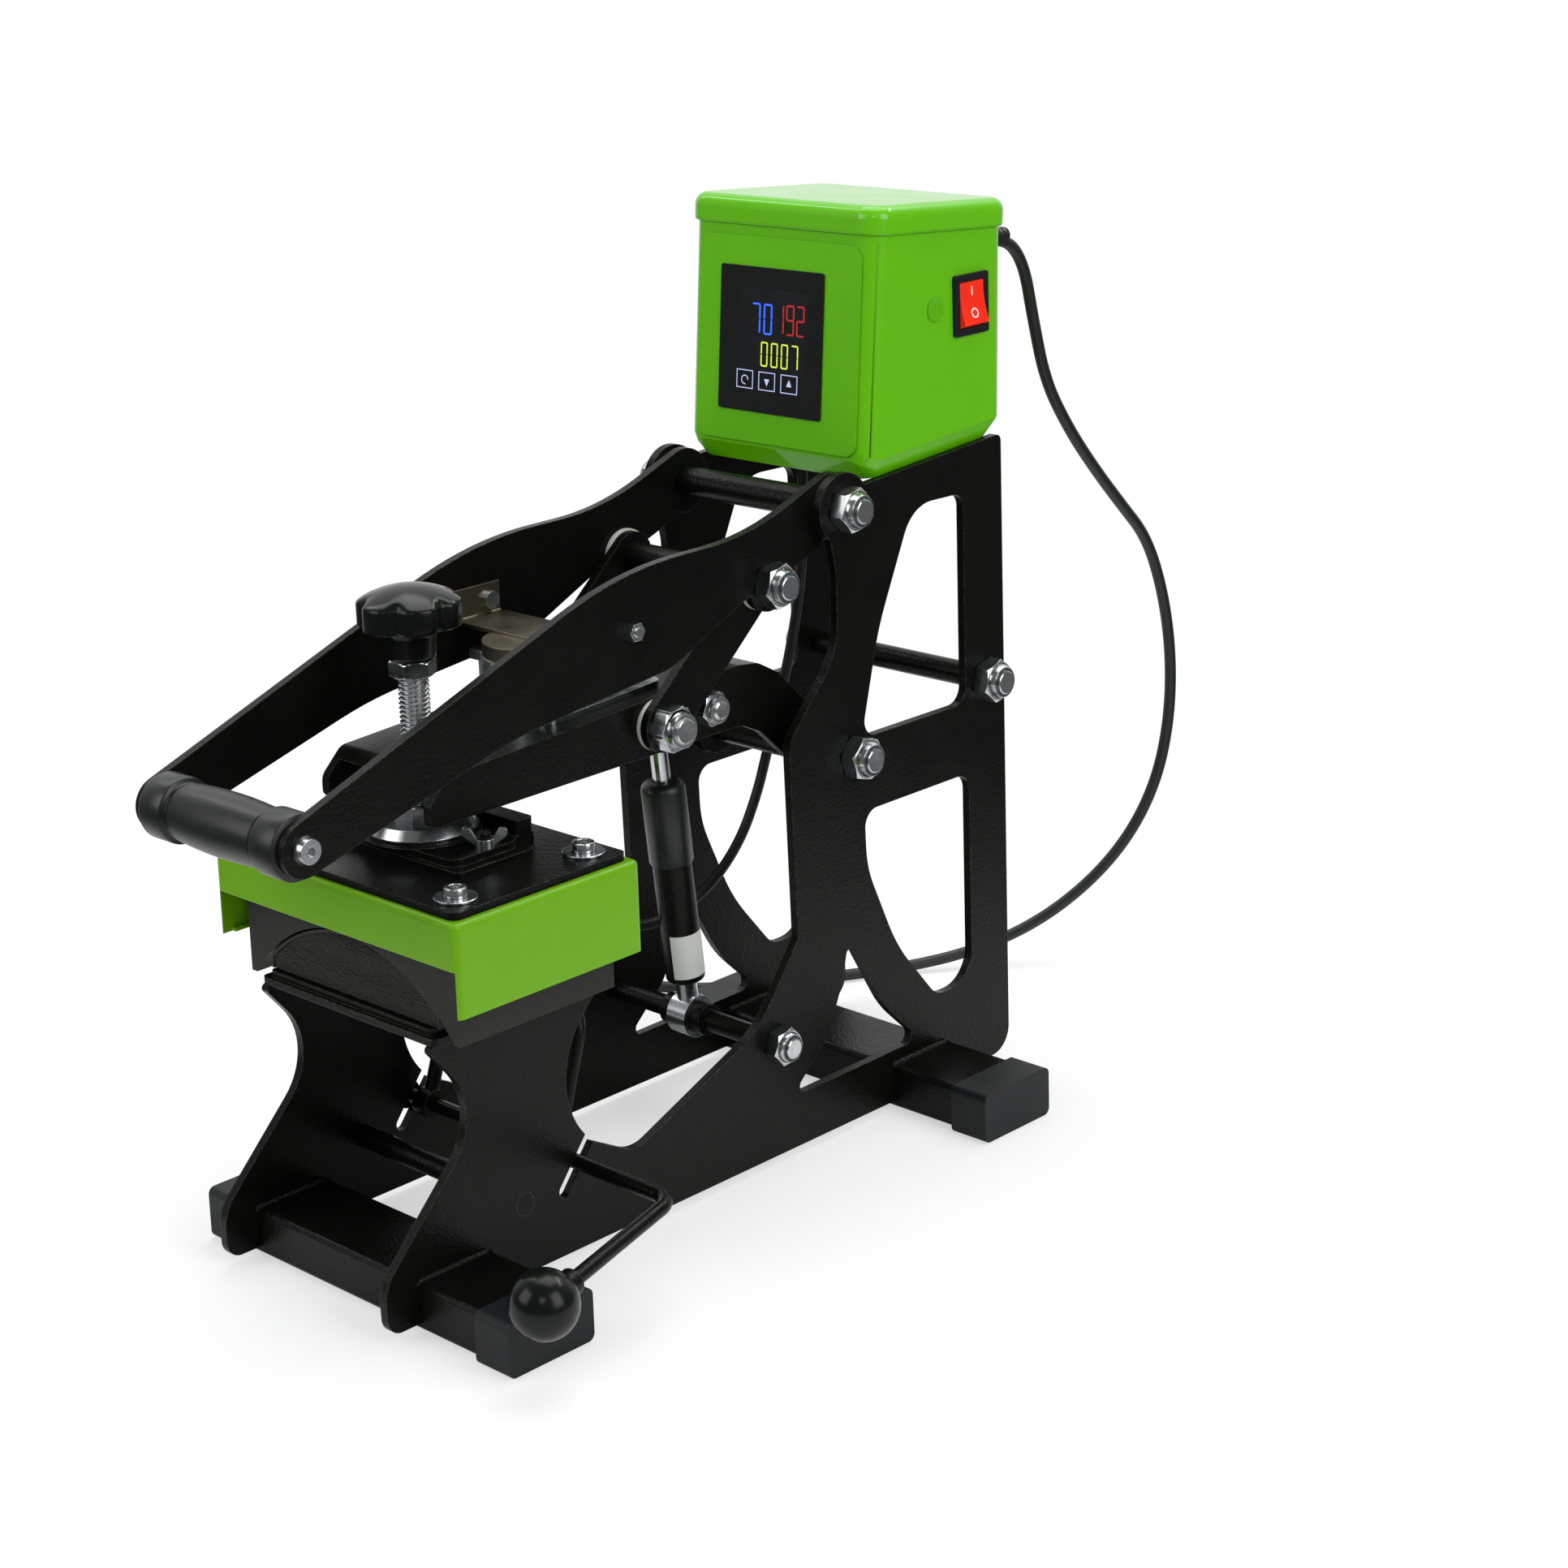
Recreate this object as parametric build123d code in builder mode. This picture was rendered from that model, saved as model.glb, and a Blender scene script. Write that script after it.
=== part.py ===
from build123d import *
from math import atan2, cos, degrees, hypot, pi, radians, sin, tan
import os

# Cap heat press with a toggle handle, in millimetres. X is the width, from the frame's
# mid-plane towards the lever's side, -Y the front, where the grip is, and Z up from the floor.

# Room between pieces
fit = 0.05  # radial room of a pin, rod or screw in its hole
gap = 0.3  # room between pieces that move past each other
cloth_t = 1.2  # room for the cap between the closed platens

# Frame plates, feet and tie rods
plate_t = 5.0
frame_half = 62.0  # mid-plane to a plate's inner face
plate_bottom = 4.5
plate_front_y = -223.0
plate_rear_y = 258.0
post_top_z = 145.0
foot_w = 50.0
foot_h = 25.0
foot_wall = 2.0
foot_y = 178.5
foot_left_x = -98.5
foot_right_x = 137.3
cap_side_wall = 3.15
cap_wall = 1.6
cap_end_wall = 3.0
cap_length = 24.4
rear_tie_y = 242.0
rear_tie_z = 235.5
front_tie_y = -129.0
front_tie_z = 42.5
front_tie_r = 6.0

# Pivots, as (y, z)
handle_pivot = (125.0, 357.5)
link_pivot = (74.5, 324.5)
knee_pivot = (1.0, 261.5)
arm_pivot = (129.0, 217.0)
strut_top = (40.0, 261.5)
strut_foot = (60.0, 70.0)
lever_pivot = (-91.5, 52.5)
grip_centre = (-247.0, 262.0)

# Shafts and lock nuts
shaft_r = 7.0
nut_af = 22.0
nut_hex_h = 10.0
nut_collar_h = 4.0
thread_end = 1.0
strut_shaft_r = 6.0
strut_nut_af = 19.0
strut_nut_h = 8.5
strut_pin_r = 5.0
strut_pin_nut_af = 17.0
strut_pin_nut_h = 7.0
small_collar_h = 3.0
sleeve_wall = 1.5

# Handle, link and arm
handle_t = 5.0
link_t = 5.0
arm_t = 5.0
washer_t = 3.7
washer_r = 15.0
link_washer_t = 2.7
knee_washer_r = 14.0
ear_r = 19.5
handle_ear_r = 18.5
lobe_r = 15.0
handle_tip_r = 14.0
link_w = 28.0
arm_lobe_r = 18.0
arm_spacer_r = 11.0
grip_r = 15.9
grip_neck_r = 13.6
grip_collar_r = 17.0
grip_collar_l = 12.0
grip_screw_r = 4.0
grip_screw_l = 22.0
grip_head_r = 7.5
grip_head_h = 4.2
grip_socket_r = 2.9
bracket_screw = (-28.5, 321.0)
bracket_screw_r = 2.5
bracket_nut_af = 9.0
bracket_nut_h = 4.5
bracket_t = 2.0
bracket_w = 32.0
bracket_floor_z = 312.0
keeper_r = 25.0
keeper_h = 9.0
keeper_y = -47.0

# Pressing head
head_y = -127.0
thread_r = 8.0
screw_foot_z = 226.0
flange_z = 231.0
flange_r = 29.0
flange_h = 5.0
flange_hex_af = 24.0
flange_hex_h = 7.0
boss_r = 29.5
boss_foot_r = 31.0
upper_step_h = 4.0
upper_step_half = 50.0
lower_step_h = 4.0
lower_step_half = 57.0
lower_step_depth = 52.0
rear_block_half = 37.0
rear_block_front_y = -95.5
rear_block_rear_y = -84.0
top_plate_t = 4.0
top_plate_half = 90.0
top_plate_depth = 117.0
shroud_top_z = 216.0
shroud_half = 94.5
shroud_depth = 125.0
shroud_t = 2.0
shroud_side_h = 48.5
shroud_front_h = 24.3
shroud_lip = 4.6
cable_hole_r = 12.5
block_half = 82.0
block_depth = 105.0
block_bottom_z = 147.5
block_top_z = 204.0
arch_r = 95.4
arch_top_z = 187.5
head_bolt_x = 74.0
head_bolt_dy = 43.0
head_bolt_r = 4.0
head_bolt_af = 13.0
head_bolt_h = 5.3
head_washer_r = 11.0
head_washer_t = 1.2
stud_x = 46.0
stud_y = -125.0
stud_r = 3.0
wing_hub_r = 5.0
wing_hub_h = 5.0
wing_span = 23.0
wing_h = 10.5
wing_t = 2.4

# Pressure screw
bush_r = 13.0
bush_h = 13.0
jam_nut_af = 24.0
jam_nut_z = 308.0
jam_nut_h = 11.0
knob_top_z = 358.0
knob_hub_r = 14.0
knob_lobe_r = 8.0
knob_lobes = 6
knob_r = 27.0
knob_lobe_z = 334.0
knob_lobe_h = 17.0

# Electromagnet and stop bolt on the arm
magnet_r = 20.0
magnet_y = -42.0
magnet_plate_t = 3.0
magnet_plate_half = 30.0
stop_x = -30.0
stop_y = -51.6
stop_r = 4.0
stop_af = 15.0
stop_head_h = 5.0

# Lower platen
pad_half = 66.0
pad_depth = 102.5
base_plate_t = 4.0
strip_half = 64.0
strip_t = 3.5
platen_y = -127.2

# Gas strut
strut_r = 11.0
strut_rod_r = 5.0
strut_tube_low = 22.0  # foot pivot to the cylinder's bottom
strut_tube_l = 119.0
eye_r = 12.0
eye_half = 7.0
top_eye_r = 10.0
top_eye_half = 6.0
top_eye_room = 1.1
collar_l = 8.0
neck_r = 6.0

# Hold-down lever
lever_r = 4.0
lever_far_reach = 7.0  # past the left plate
lever_bend_reach = 67.6  # past the right plate
ball_r = 17.5
ball_reach = 90.0
ball_yz = (-200.0, 44.3)
lever_collar_r = 7.0
lever_collar_l = 9.0
bail_x = 50.0
bail_tilt = 18.0
bail_h = 78.0
bail_eye_r = 8.0
bail_eye_l = 10.0

# Control box
box_half = 69.0
box_front_y = 142.3
box_front_top_y = 155.0
box_rear_y = 259.3
box_rear_top_y = 263.3
box_bottom_front_z = 367.6
seat_slope = 0.0712
box_shell_front_z = 501.0
box_shell_rear_z = 493.0
box_corner_r = 11.0
box_bevel_w = 6.0
box_bevel_h = 11.0
box_wall = 2.5
lid_h = 16.0
lid_over = 2.5
lid_round = 7.0
panel_half = 60.0
panel_low = 13.0
panel_h = 115.0
panel_t = 1.2
panel_r = 8.0
display_w = 77.0
display_h = 81.0
display_x = -4.0
display_low = 17.5
display_t = 1.0
bezel_y = 229.8
bezel_z = 454.0
bezel_w = 28.5
bezel_h = 34.0
bezel_t = 2.2
bezel_lip = 4.0
rocker_depth = 4.0  # pivot axis to the button's back
rocker_axis_depth = 1.0  # pivot axis below the box's side
rocker_low_angle = 34.0  # how far the pressed-out end leans out
rocker_high_angle = 14.0
plug_y = 200.6
plug_z = 454.5
plug_r = 6.5
plug_t = 1.0
gland_x = 40.0
gland_z = 480.0
gland_r = 8.0
gland_l = 8.0

# Mains cord, its coil on the floor behind the press, and its plug
cord_r = 3.5
coil_r = 47.4  # outer loop's centre line
coil_step = 8.8  # drawn in by one turn
coil_layer = 7.6  # from one layer to the next
coil_turns = 3.5
rise_start = 1.5  # turns at which it begins and ends its climb to the upper layer
rise_end = 2.0
coil_at = (-205.0, 142.0)  # on the floor beside the left plate
mains_plug_l = 40.0
mains_plug_w = 26.0
mains_plug_h = 19.0
plug_pin_r = 2.4
plug_pin_l = 19.0
plug_pin_gap = 19.0

# Heater lead
heater_lead_r = 3.0
lead_x = -22.0
lead_hole_z = 192.0

os.makedirs("parts", exist_ok=True)

# What follows from the sizes above
foot_z = cap_wall + fit  # underside of the foot tubes
foot_top_z = foot_z + foot_h
frame_outer = frame_half + plate_t
lever_far_x = -frame_outer - lever_far_reach
lever_bend_x = frame_outer + lever_bend_reach
ball_at = (frame_outer + ball_reach, *ball_yz)
handle_outer = frame_half - washer_t - gap
handle_inner = handle_outer - handle_t
link_outer = handle_inner - link_washer_t - gap
link_inner = link_outer - link_t
arm_outer = link_inner - link_washer_t - gap
arm_inner = arm_outer - arm_t
mount_z = shroud_top_z + top_plate_t
lower_step_z = mount_z + lower_step_h
boss_z = lower_step_z + upper_step_h
flange_top_z = flange_z + flange_h
shroud_side_z = shroud_top_z - shroud_side_h
arch_z = arch_top_z - arch_r
head_front_y = head_y - shroud_depth / 2
link_length = hypot(link_pivot[0] - knee_pivot[0], link_pivot[1] - knee_pivot[1])
link_angle = degrees(atan2(link_pivot[1] - knee_pivot[1], link_pivot[0] - knee_pivot[0]))
strut_length = hypot(strut_top[0] - strut_foot[0], strut_top[1] - strut_foot[1])
strut_dir = Vector(0, strut_top[0] - strut_foot[0], strut_top[1] - strut_foot[1]).normalized()


def yz(x):
    """Plane across the press at x, with its own axes along Y and Z."""
    return Plane.YZ.offset(x)


def rod(at, radius, x0, x1, mode=Mode.ADD):
    with BuildSketch(yz(x0)) as section:
        with Locations(at):
            Circle(radius)
    extrude(section.sketch, amount=x1 - x0, mode=mode)


def tube(at, radius, bore, x0, x1):
    with BuildSketch(yz(x0)) as section:
        with Locations(at):
            Circle(radius)
            Circle(bore, mode=Mode.SUBTRACT)
    extrude(section.sketch, amount=x1 - x0)


def lock_nut(at, x, facing, across, hex_h, collar_h, bore):
    """Hexagon nut with its round locking collar, seated at x and facing +X or -X."""
    seat = Plane(origin=(x, *at), x_dir=(0, 1, 0), z_dir=(facing, 0, 0))
    with BuildSketch(seat) as hexagon:
        RegularPolygon(across / 2, 6, major_radius=False)
        Circle(bore, mode=Mode.SUBTRACT)
    extrude(hexagon.sketch, amount=hex_h)
    with BuildSketch(seat.offset(hex_h)) as collar:
        Circle(across * 0.42)
        Circle(bore, mode=Mode.SUBTRACT)
    extrude(collar.sketch, amount=collar_h)


def outline(corners):
    """Closed profile from (y, z, radius) corners."""
    with BuildSketch() as profile:
        with BuildLine():
            FilletPolyline(*[c[:2] for c in corners], radius=[c[2] for c in corners], close=True)
        make_face()
    return profile.sketch


def seat_z(y):
    """Height of the plates' sloping tops, under the control box."""
    return box_bottom_front_z + seat_slope * (y - box_front_y)


# Corners (y, z, radius) of the side plate, its windows and the moving plates
side_plate = [
    (plate_front_y, plate_bottom, 9),
    (plate_front_y - 0.5, 31, 22),
    (-152, 102.5, 36),
    (-188.5, post_top_z, 2.5),
    (-70, post_top_z, 2.5),
    (-114, 99.5, 48),
    (lever_pivot[0] + 10.5, lever_pivot[1] + 8, 3),
    (-50, 44, 22),
    (45, 82, 60),
    (79, 125, 8),
    (76.5, 237, 14),
    (117, 279, 40),
    (117.5, 322, 25),
    (handle_pivot[0] - 12, handle_pivot[1] - 12, 0),
    handle_pivot + (0,),
    (136, seat_z(136), 0),
    (plate_rear_y, seat_z(plate_rear_y), 4),
    (plate_rear_y, plate_bottom, 15),
]
upper_window = [(134.5, 225.5, 9), (150.5, 285, 150), (181, 348.5, 25), (224.2, 347.5, 8), (223.7, 225, 10)]
lower_window = [(135.5, 183.3, 10), (225.5, 183, 10), (225.2, 57, 20), (193.5, 57, 16), (160, 97, 120), (136.5, 150, 60)]
brace_window = [(119.5, 113, 3.5), (148, 64, 80), (178, 35.5, 5), (70, 34.8, 4), (101, 62, 25), (114, 90, 40)]
handle_plate = [
    (-251.7, 275.2, 0),
    (-35, 353.5, 250),
    (61.5, 353.5, 180),
    (118.5, 374.8, 0),
    handle_pivot + (0,),
    (114.5, 337, 0),
    (95, 330, 12),
    link_pivot + (0,),
    (52, 318.5, 0),
    (0, 295, 60),
    (-113, 284, 250),
    (-243.4, 248.5, 0),
    grip_centre + (0,),
]
arm_side = [
    (-156.5, 244.6, 4),
    (-156.5, 256, 8),
    (-143, 269, 8),
    (65, 279, 12),
    (80.5, 276.8, 12),
    (96, 268, 14),
    (134.5, 230, 0),
    arm_pivot + (0,),
    (102.4, 217.7, 0),
    (80.6, 238, 12),
    (66, 245, 12),
]
web_rise = (279 - 269) / (65 + 143)


def web_z(y):
    """Top of the arm's web."""
    return 269 + web_rise * (y + 143)


# Frame ---------------------------------------------------------------------------------------


def draw_side_plate():
    add(outline(side_plate))
    with Locations(handle_pivot):
        Circle(ear_r)
    for window in (upper_window, lower_window, brace_window):
        add(outline(window), mode=Mode.SUBTRACT)
    # Notches over the foot tubes
    with Locations((-foot_y, foot_top_z / 2), (foot_y, foot_top_z / 2)):
        Rectangle(foot_w + 2 * fit, foot_top_z + 2 * fit, mode=Mode.SUBTRACT)
    # Open slot that the lever's cross rod drops into
    with Locations(Location((*lever_pivot, 0), 51)):
        SlotOverall(40, 2 * (lever_r + fit), mode=Mode.SUBTRACT)
    for at, radius in (
        (handle_pivot, shaft_r),
        (arm_pivot, shaft_r),
        ((rear_tie_y, rear_tie_z), shaft_r),
        (strut_foot, strut_shaft_r),
        ((front_tie_y, front_tie_z), front_tie_r),
    ):
        with Locations(at):
            Circle(radius + fit, mode=Mode.SUBTRACT)


with BuildPart() as side_plate_right:
    with BuildSketch(yz(frame_half)):
        draw_side_plate()
    extrude(amount=plate_t)

with BuildPart() as side_plate_left:
    with BuildSketch(yz(-frame_outer)):
        draw_side_plate()
    extrude(amount=plate_t)


def foot_tube(y):
    with BuildSketch(yz(foot_left_x + cap_end_wall)) as section:
        with Locations((y, foot_z + foot_h / 2)):
            RectangleRounded(foot_w, foot_h, 3)
            RectangleRounded(foot_w - 2 * foot_wall, foot_h - 2 * foot_wall, 1.5, mode=Mode.SUBTRACT)
    extrude(section.sketch, amount=foot_right_x - foot_left_x - 2 * cap_end_wall)


with BuildPart() as foot_tubes:
    foot_tube(-foot_y)
    foot_tube(foot_y)

with BuildPart() as foot_caps:
    for x0, facing in ((foot_left_x, 1), (foot_right_x, -1)):
        cap_plane = Plane(origin=(x0, 0, 0), x_dir=(0, 1, 0), z_dir=(facing, 0, 0))
        for y in (-foot_y, foot_y):
            with BuildSketch(cap_plane):
                with Locations((y, facing * (foot_z + foot_h / 2))):
                    RectangleRounded(foot_w + 2 * (fit + cap_side_wall), foot_h + 2 * (fit + cap_wall), 4)
            extrude(amount=cap_length)
            with BuildSketch(cap_plane.offset(cap_end_wall)):
                with Locations((y, facing * (foot_z + foot_h / 2))):
                    RectangleRounded(foot_w + 2 * fit, foot_h + 2 * fit, 3)
            extrude(amount=cap_length - cap_end_wall, mode=Mode.SUBTRACT)

with BuildPart() as tie_rods:
    rod((rear_tie_y, rear_tie_z), shaft_r, -frame_outer - nut_hex_h - nut_collar_h - thread_end, frame_outer + nut_hex_h + nut_collar_h + thread_end)
    rod((front_tie_y, front_tie_z), front_tie_r, -frame_outer, frame_outer)

nut_end = frame_outer + nut_hex_h + nut_collar_h + thread_end
strut_nut_end = frame_outer + strut_nut_h + small_collar_h + thread_end
with BuildPart() as frame_shafts:
    rod(handle_pivot, shaft_r, -nut_end, nut_end)
    rod(arm_pivot, shaft_r, -nut_end, nut_end)
    rod(strut_foot, strut_shaft_r, -strut_nut_end, strut_nut_end)
    # Collars that keep the strut's eye on the mid-plane
    for x0 in (-eye_half - gap - collar_l, eye_half + gap):
        rod(strut_foot, strut_shaft_r + 3, x0, x0 + collar_l)

with BuildPart() as frame_nuts:
    for facing in (-1, 1):
        for at in (handle_pivot, arm_pivot, (rear_tie_y, rear_tie_z)):
            lock_nut(at, facing * frame_outer, facing, nut_af, nut_hex_h, nut_collar_h, shaft_r + fit)
        lock_nut(strut_foot, facing * frame_outer, facing, strut_nut_af, strut_nut_h, small_collar_h, strut_shaft_r + fit)

with BuildPart() as pivot_washers:
    tube(handle_pivot, washer_r, shaft_r + fit, frame_half - washer_t, frame_half)
    tube(handle_pivot, washer_r, shaft_r + fit, -frame_half, -frame_half + washer_t)

with BuildPart() as arm_spacers:
    tube(arm_pivot, arm_spacer_r, shaft_r + fit, arm_outer + gap, frame_half)
    tube(arm_pivot, arm_spacer_r, shaft_r + fit, -frame_half, -arm_outer - gap)

# Lower platen: plate on the posts, strip on it, and the curved pad
pad_r = arch_r - cloth_t
base_top_z = post_top_z + base_plate_t
strip_top_z = base_top_z + strip_t
with BuildPart() as platen_base:
    with BuildSketch(Plane.XY.offset(post_top_z)):
        with Locations((0, platen_y)):
            RectangleRounded(2 * (frame_outer + 1), 114, 3)
    extrude(amount=base_plate_t)
    with BuildSketch(Plane.XY.offset(base_top_z)):
        with Locations((0, platen_y)):
            RectangleRounded(2 * strip_half, 109, 3)
    extrude(amount=strip_t)

with BuildPart() as platen_pad:
    with BuildSketch(Plane.XZ.offset(-platen_y - pad_depth / 2)):
        with Locations((0, arch_z)):
            Circle(pad_r)
        with Locations((0, strip_top_z)):
            Rectangle(2 * pad_half, 100, align=(Align.CENTER, Align.MIN), mode=Mode.INTERSECT)
    extrude(amount=pad_depth)

# Handle --------------------------------------------------------------------------------------


def draw_handle_plate():
    add(outline(handle_plate))
    for at, radius in ((handle_pivot, handle_ear_r), (link_pivot, lobe_r), (grip_centre, handle_tip_r)):
        with Locations(at):
            Circle(radius)
    for at, radius in ((handle_pivot, shaft_r), (link_pivot, shaft_r), (grip_centre, grip_screw_r), (bracket_screw, bracket_screw_r)):
        with Locations(at):
            Circle(radius + fit, mode=Mode.SUBTRACT)


with BuildPart() as handle_plate_right:
    with BuildSketch(yz(handle_inner)):
        draw_handle_plate()
    extrude(amount=handle_t)

with BuildPart() as handle_plate_left:
    with BuildSketch(yz(-handle_outer)):
        draw_handle_plate()
    extrude(amount=handle_t)

with BuildPart() as handle_grip:
    grip_plane = Plane(origin=(0, *grip_centre), x_dir=(1, 0, 0), z_dir=(0, -1, 0))
    with BuildSketch(grip_plane):
        with BuildLine():
            half = handle_inner
            collar_x = half - grip_collar_l
            neck_x = collar_x - 7
            bore_x = half - grip_screw_l
            Polyline((0, 0), (bore_x, 0), (bore_x, grip_screw_r + fit), (half, grip_screw_r + fit), (half, grip_collar_r - 1.5))
            ThreePointArc((half, grip_collar_r - 1.5), (half - 0.6, grip_collar_r - 0.5), (half - 2, grip_collar_r))
            Line((half - 2, grip_collar_r), (collar_x, grip_collar_r))
            ThreePointArc((collar_x, grip_collar_r), (collar_x - 2.4, grip_neck_r + 0.9), (neck_x, grip_neck_r))
            ThreePointArc((neck_x, grip_neck_r), (neck_x * 0.5, grip_r - 0.7), (0, grip_r))
            Line((0, grip_r), (0, 0))
        make_face()
        mirror(about=Plane.YZ)
    revolve(axis=Axis((0, *grip_centre), (1, 0, 0)))

with BuildPart() as handle_screws:
    for facing in (-1, 1):
        head = Plane(origin=(facing * handle_outer, *grip_centre), x_dir=(0, 1, 0), z_dir=(facing, 0, 0))
        with BuildSketch(head):
            Circle(grip_head_r)
        extrude(amount=grip_head_h, taper=18)
        with BuildSketch(head):
            Circle(grip_screw_r)
        extrude(amount=-(handle_t + grip_screw_l - 2))
        with BuildSketch(head.offset(grip_head_h - 2.4)):
            RegularPolygon(grip_socket_r, 6)
        extrude(amount=2.4, mode=Mode.SUBTRACT)
    # Screws of the keeper's bracket, with their nuts outside
    for facing in (-1, 1):
        tip = facing * (handle_outer + bracket_nut_h + thread_end)
        back = facing * (handle_inner - bracket_t - 3)
        rod(bracket_screw, bracket_screw_r, min(tip, back), max(tip, back))
        inner = facing * (handle_inner - bracket_t)
        with BuildSketch(Plane(origin=(inner, *bracket_screw), x_dir=(0, 1, 0), z_dir=(-facing, 0, 0))):
            Circle(bracket_screw_r + 2.3)
        extrude(amount=3)
        with BuildSketch(Plane(origin=(facing * handle_outer, *bracket_screw), x_dir=(0, 1, 0), z_dir=(facing, 0, 0))):
            RegularPolygon(bracket_nut_af / 2, 6, major_radius=False)
        extrude(amount=bracket_nut_h)

with BuildPart() as handle_sleeve:
    tube(handle_pivot, shaft_r + fit + sleeve_wall, shaft_r + fit, -handle_inner, handle_inner)

link_nut_end = handle_outer + nut_hex_h + nut_collar_h + thread_end
with BuildPart() as link_shaft:
    rod(link_pivot, shaft_r, -link_nut_end, link_nut_end)

with BuildPart() as link_shaft_nuts:
    for facing in (-1, 1):
        lock_nut(link_pivot, facing * handle_outer, facing, nut_af, nut_hex_h, nut_collar_h, shaft_r + fit)

# Keeper for the electromagnet: a folded strip with a round plate under it
keeper_z = bracket_floor_z - keeper_h
bracket_y = bracket_screw[0] - 8.5
with BuildPart() as magnet_keeper:
    with BuildSketch(Plane.XZ.offset(-bracket_y - bracket_w / 2)):
        with BuildLine():
            top = bracket_screw[1] + 9
            FilletPolyline(
                (-handle_inner, top),
                (-handle_inner, bracket_floor_z),
                (handle_inner, bracket_floor_z),
                (handle_inner, top),
                (handle_inner - bracket_t, top),
                (handle_inner - bracket_t, bracket_floor_z + bracket_t),
                (-handle_inner + bracket_t, bracket_floor_z + bracket_t),
                (-handle_inner + bracket_t, top),
                radius=[0, 3, 3, 0, 0, 1, 1, 0],
                close=True,
            )
        make_face()
    extrude(amount=bracket_w)
    for x0 in (-handle_inner - 1, handle_inner - bracket_t - 1):
        rod(bracket_screw, bracket_screw_r + fit, x0, x0 + bracket_t + 2, mode=Mode.SUBTRACT)
    with BuildSketch(Plane.XY.offset(keeper_z)):
        with Locations((0, keeper_y)):
            Circle(keeper_r)
    extrude(amount=keeper_h)
    fillet(edges().filter_by(GeomType.CIRCLE).group_by(Axis.Z)[0], 1.5)

# Link ----------------------------------------------------------------------------------------

link_mid = ((link_pivot[0] + knee_pivot[0]) / 2, (link_pivot[1] + knee_pivot[1]) / 2)
with BuildPart() as link_plates:
    for x0 in (-link_outer, link_inner):
        with BuildSketch(yz(x0)):
            with Locations(Location((*link_mid, 0), link_angle)):
                SlotCenterToCenter(link_length, link_w)
            with Locations(link_pivot, knee_pivot):
                Circle(shaft_r + fit, mode=Mode.SUBTRACT)
        extrude(amount=link_t)

with BuildPart() as link_sleeve:
    tube(link_pivot, shaft_r + fit + sleeve_wall, shaft_r + fit, -link_inner, link_inner)

with BuildPart() as link_washers:
    for x0 in (-link_outer - link_washer_t, link_outer):
        tube(link_pivot, washer_r, shaft_r + fit, x0, x0 + link_washer_t)
    for x0 in (-link_inner, link_inner - link_washer_t):
        tube(knee_pivot, knee_washer_r, shaft_r + fit, x0, x0 + link_washer_t)

knee_end = link_outer + nut_hex_h + nut_collar_h + thread_end
with BuildPart() as knee_bolts:
    for facing in (-1, 1):
        ends = sorted((facing * (link_inner - link_washer_t), facing * knee_end))
        rod(knee_pivot, shaft_r, *ends)
        lock_nut(knee_pivot, facing * link_outer, facing, nut_af, nut_hex_h, nut_collar_h, shaft_r)

# Arm -----------------------------------------------------------------------------------------

with BuildPart() as arm_channel:
    with BuildSketch(yz(-arm_outer)):
        add(outline(arm_side))
        with Locations(arm_pivot):
            Circle(arm_lobe_r)
    extrude(amount=2 * arm_outer)
    # Inside of the folded sheet, open below and at both ends
    with BuildSketch(yz(-arm_inner)):
        with BuildLine():
            Polyline((-170, 230), (-170, web_z(-170) - arm_t), (65, web_z(65) - arm_t), (90, 266.5), (112, 246), (112, 300), (180, 300), (180, 180), (90, 180), (-170, 230))
        make_face()
    extrude(amount=2 * arm_inner, mode=Mode.SUBTRACT)
    for at, radius in ((arm_pivot, shaft_r), (knee_pivot, shaft_r), (strut_top, strut_pin_r)):
        rod(at, radius + fit, -arm_outer - 1, arm_outer + 1, mode=Mode.SUBTRACT)
    with Locations((0, head_y, web_z(head_y))):
        Cylinder(bush_r + fit, 4 * arm_t, mode=Mode.SUBTRACT)

strut_pin_end = arm_outer + strut_pin_nut_h + small_collar_h + thread_end / 2
with BuildPart() as arm_pins:
    rod(knee_pivot, shaft_r, -arm_outer, arm_outer)
    rod(strut_top, strut_pin_r, -strut_pin_end, strut_pin_end)
    for facing in (-1, 1):
        lock_nut(strut_top, facing * arm_outer, facing, strut_pin_nut_af, strut_pin_nut_h, small_collar_h, strut_pin_r)

with BuildPart() as arm_pivot_tube:
    tube(arm_pivot, shaft_r + fit + 3, shaft_r + fit, -arm_inner, arm_inner)

magnet_top_z = keeper_z - gap
web_angle = degrees(atan2(web_rise, 1))
web_plane = Plane(origin=(0, 0, web_z(0)), x_dir=(1, 0, 0), z_dir=(0, -sin(radians(web_angle)), cos(radians(web_angle))))
with BuildPart() as electromagnet:
    with BuildSketch(web_plane):
        with Locations((0, -22)):
            RectangleRounded(2 * magnet_plate_half, 84, 6)
        with Locations((stop_x, stop_y)):
            Circle(stop_r + 3, mode=Mode.SUBTRACT)
    extrude(amount=magnet_plate_t)
    with BuildSketch(Plane.XY.offset(web_z(magnet_y + magnet_r) + magnet_plate_t)):
        with Locations((0, magnet_y)):
            Circle(magnet_r)
    extrude(amount=magnet_top_z - web_z(magnet_y + magnet_r) - magnet_plate_t)
    with BuildSketch(Plane.XY.offset(web_z(magnet_y) + magnet_plate_t / 2)):
        with Locations((0, magnet_y)):
            Circle(magnet_r)
    extrude(amount=magnet_plate_t)

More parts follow.
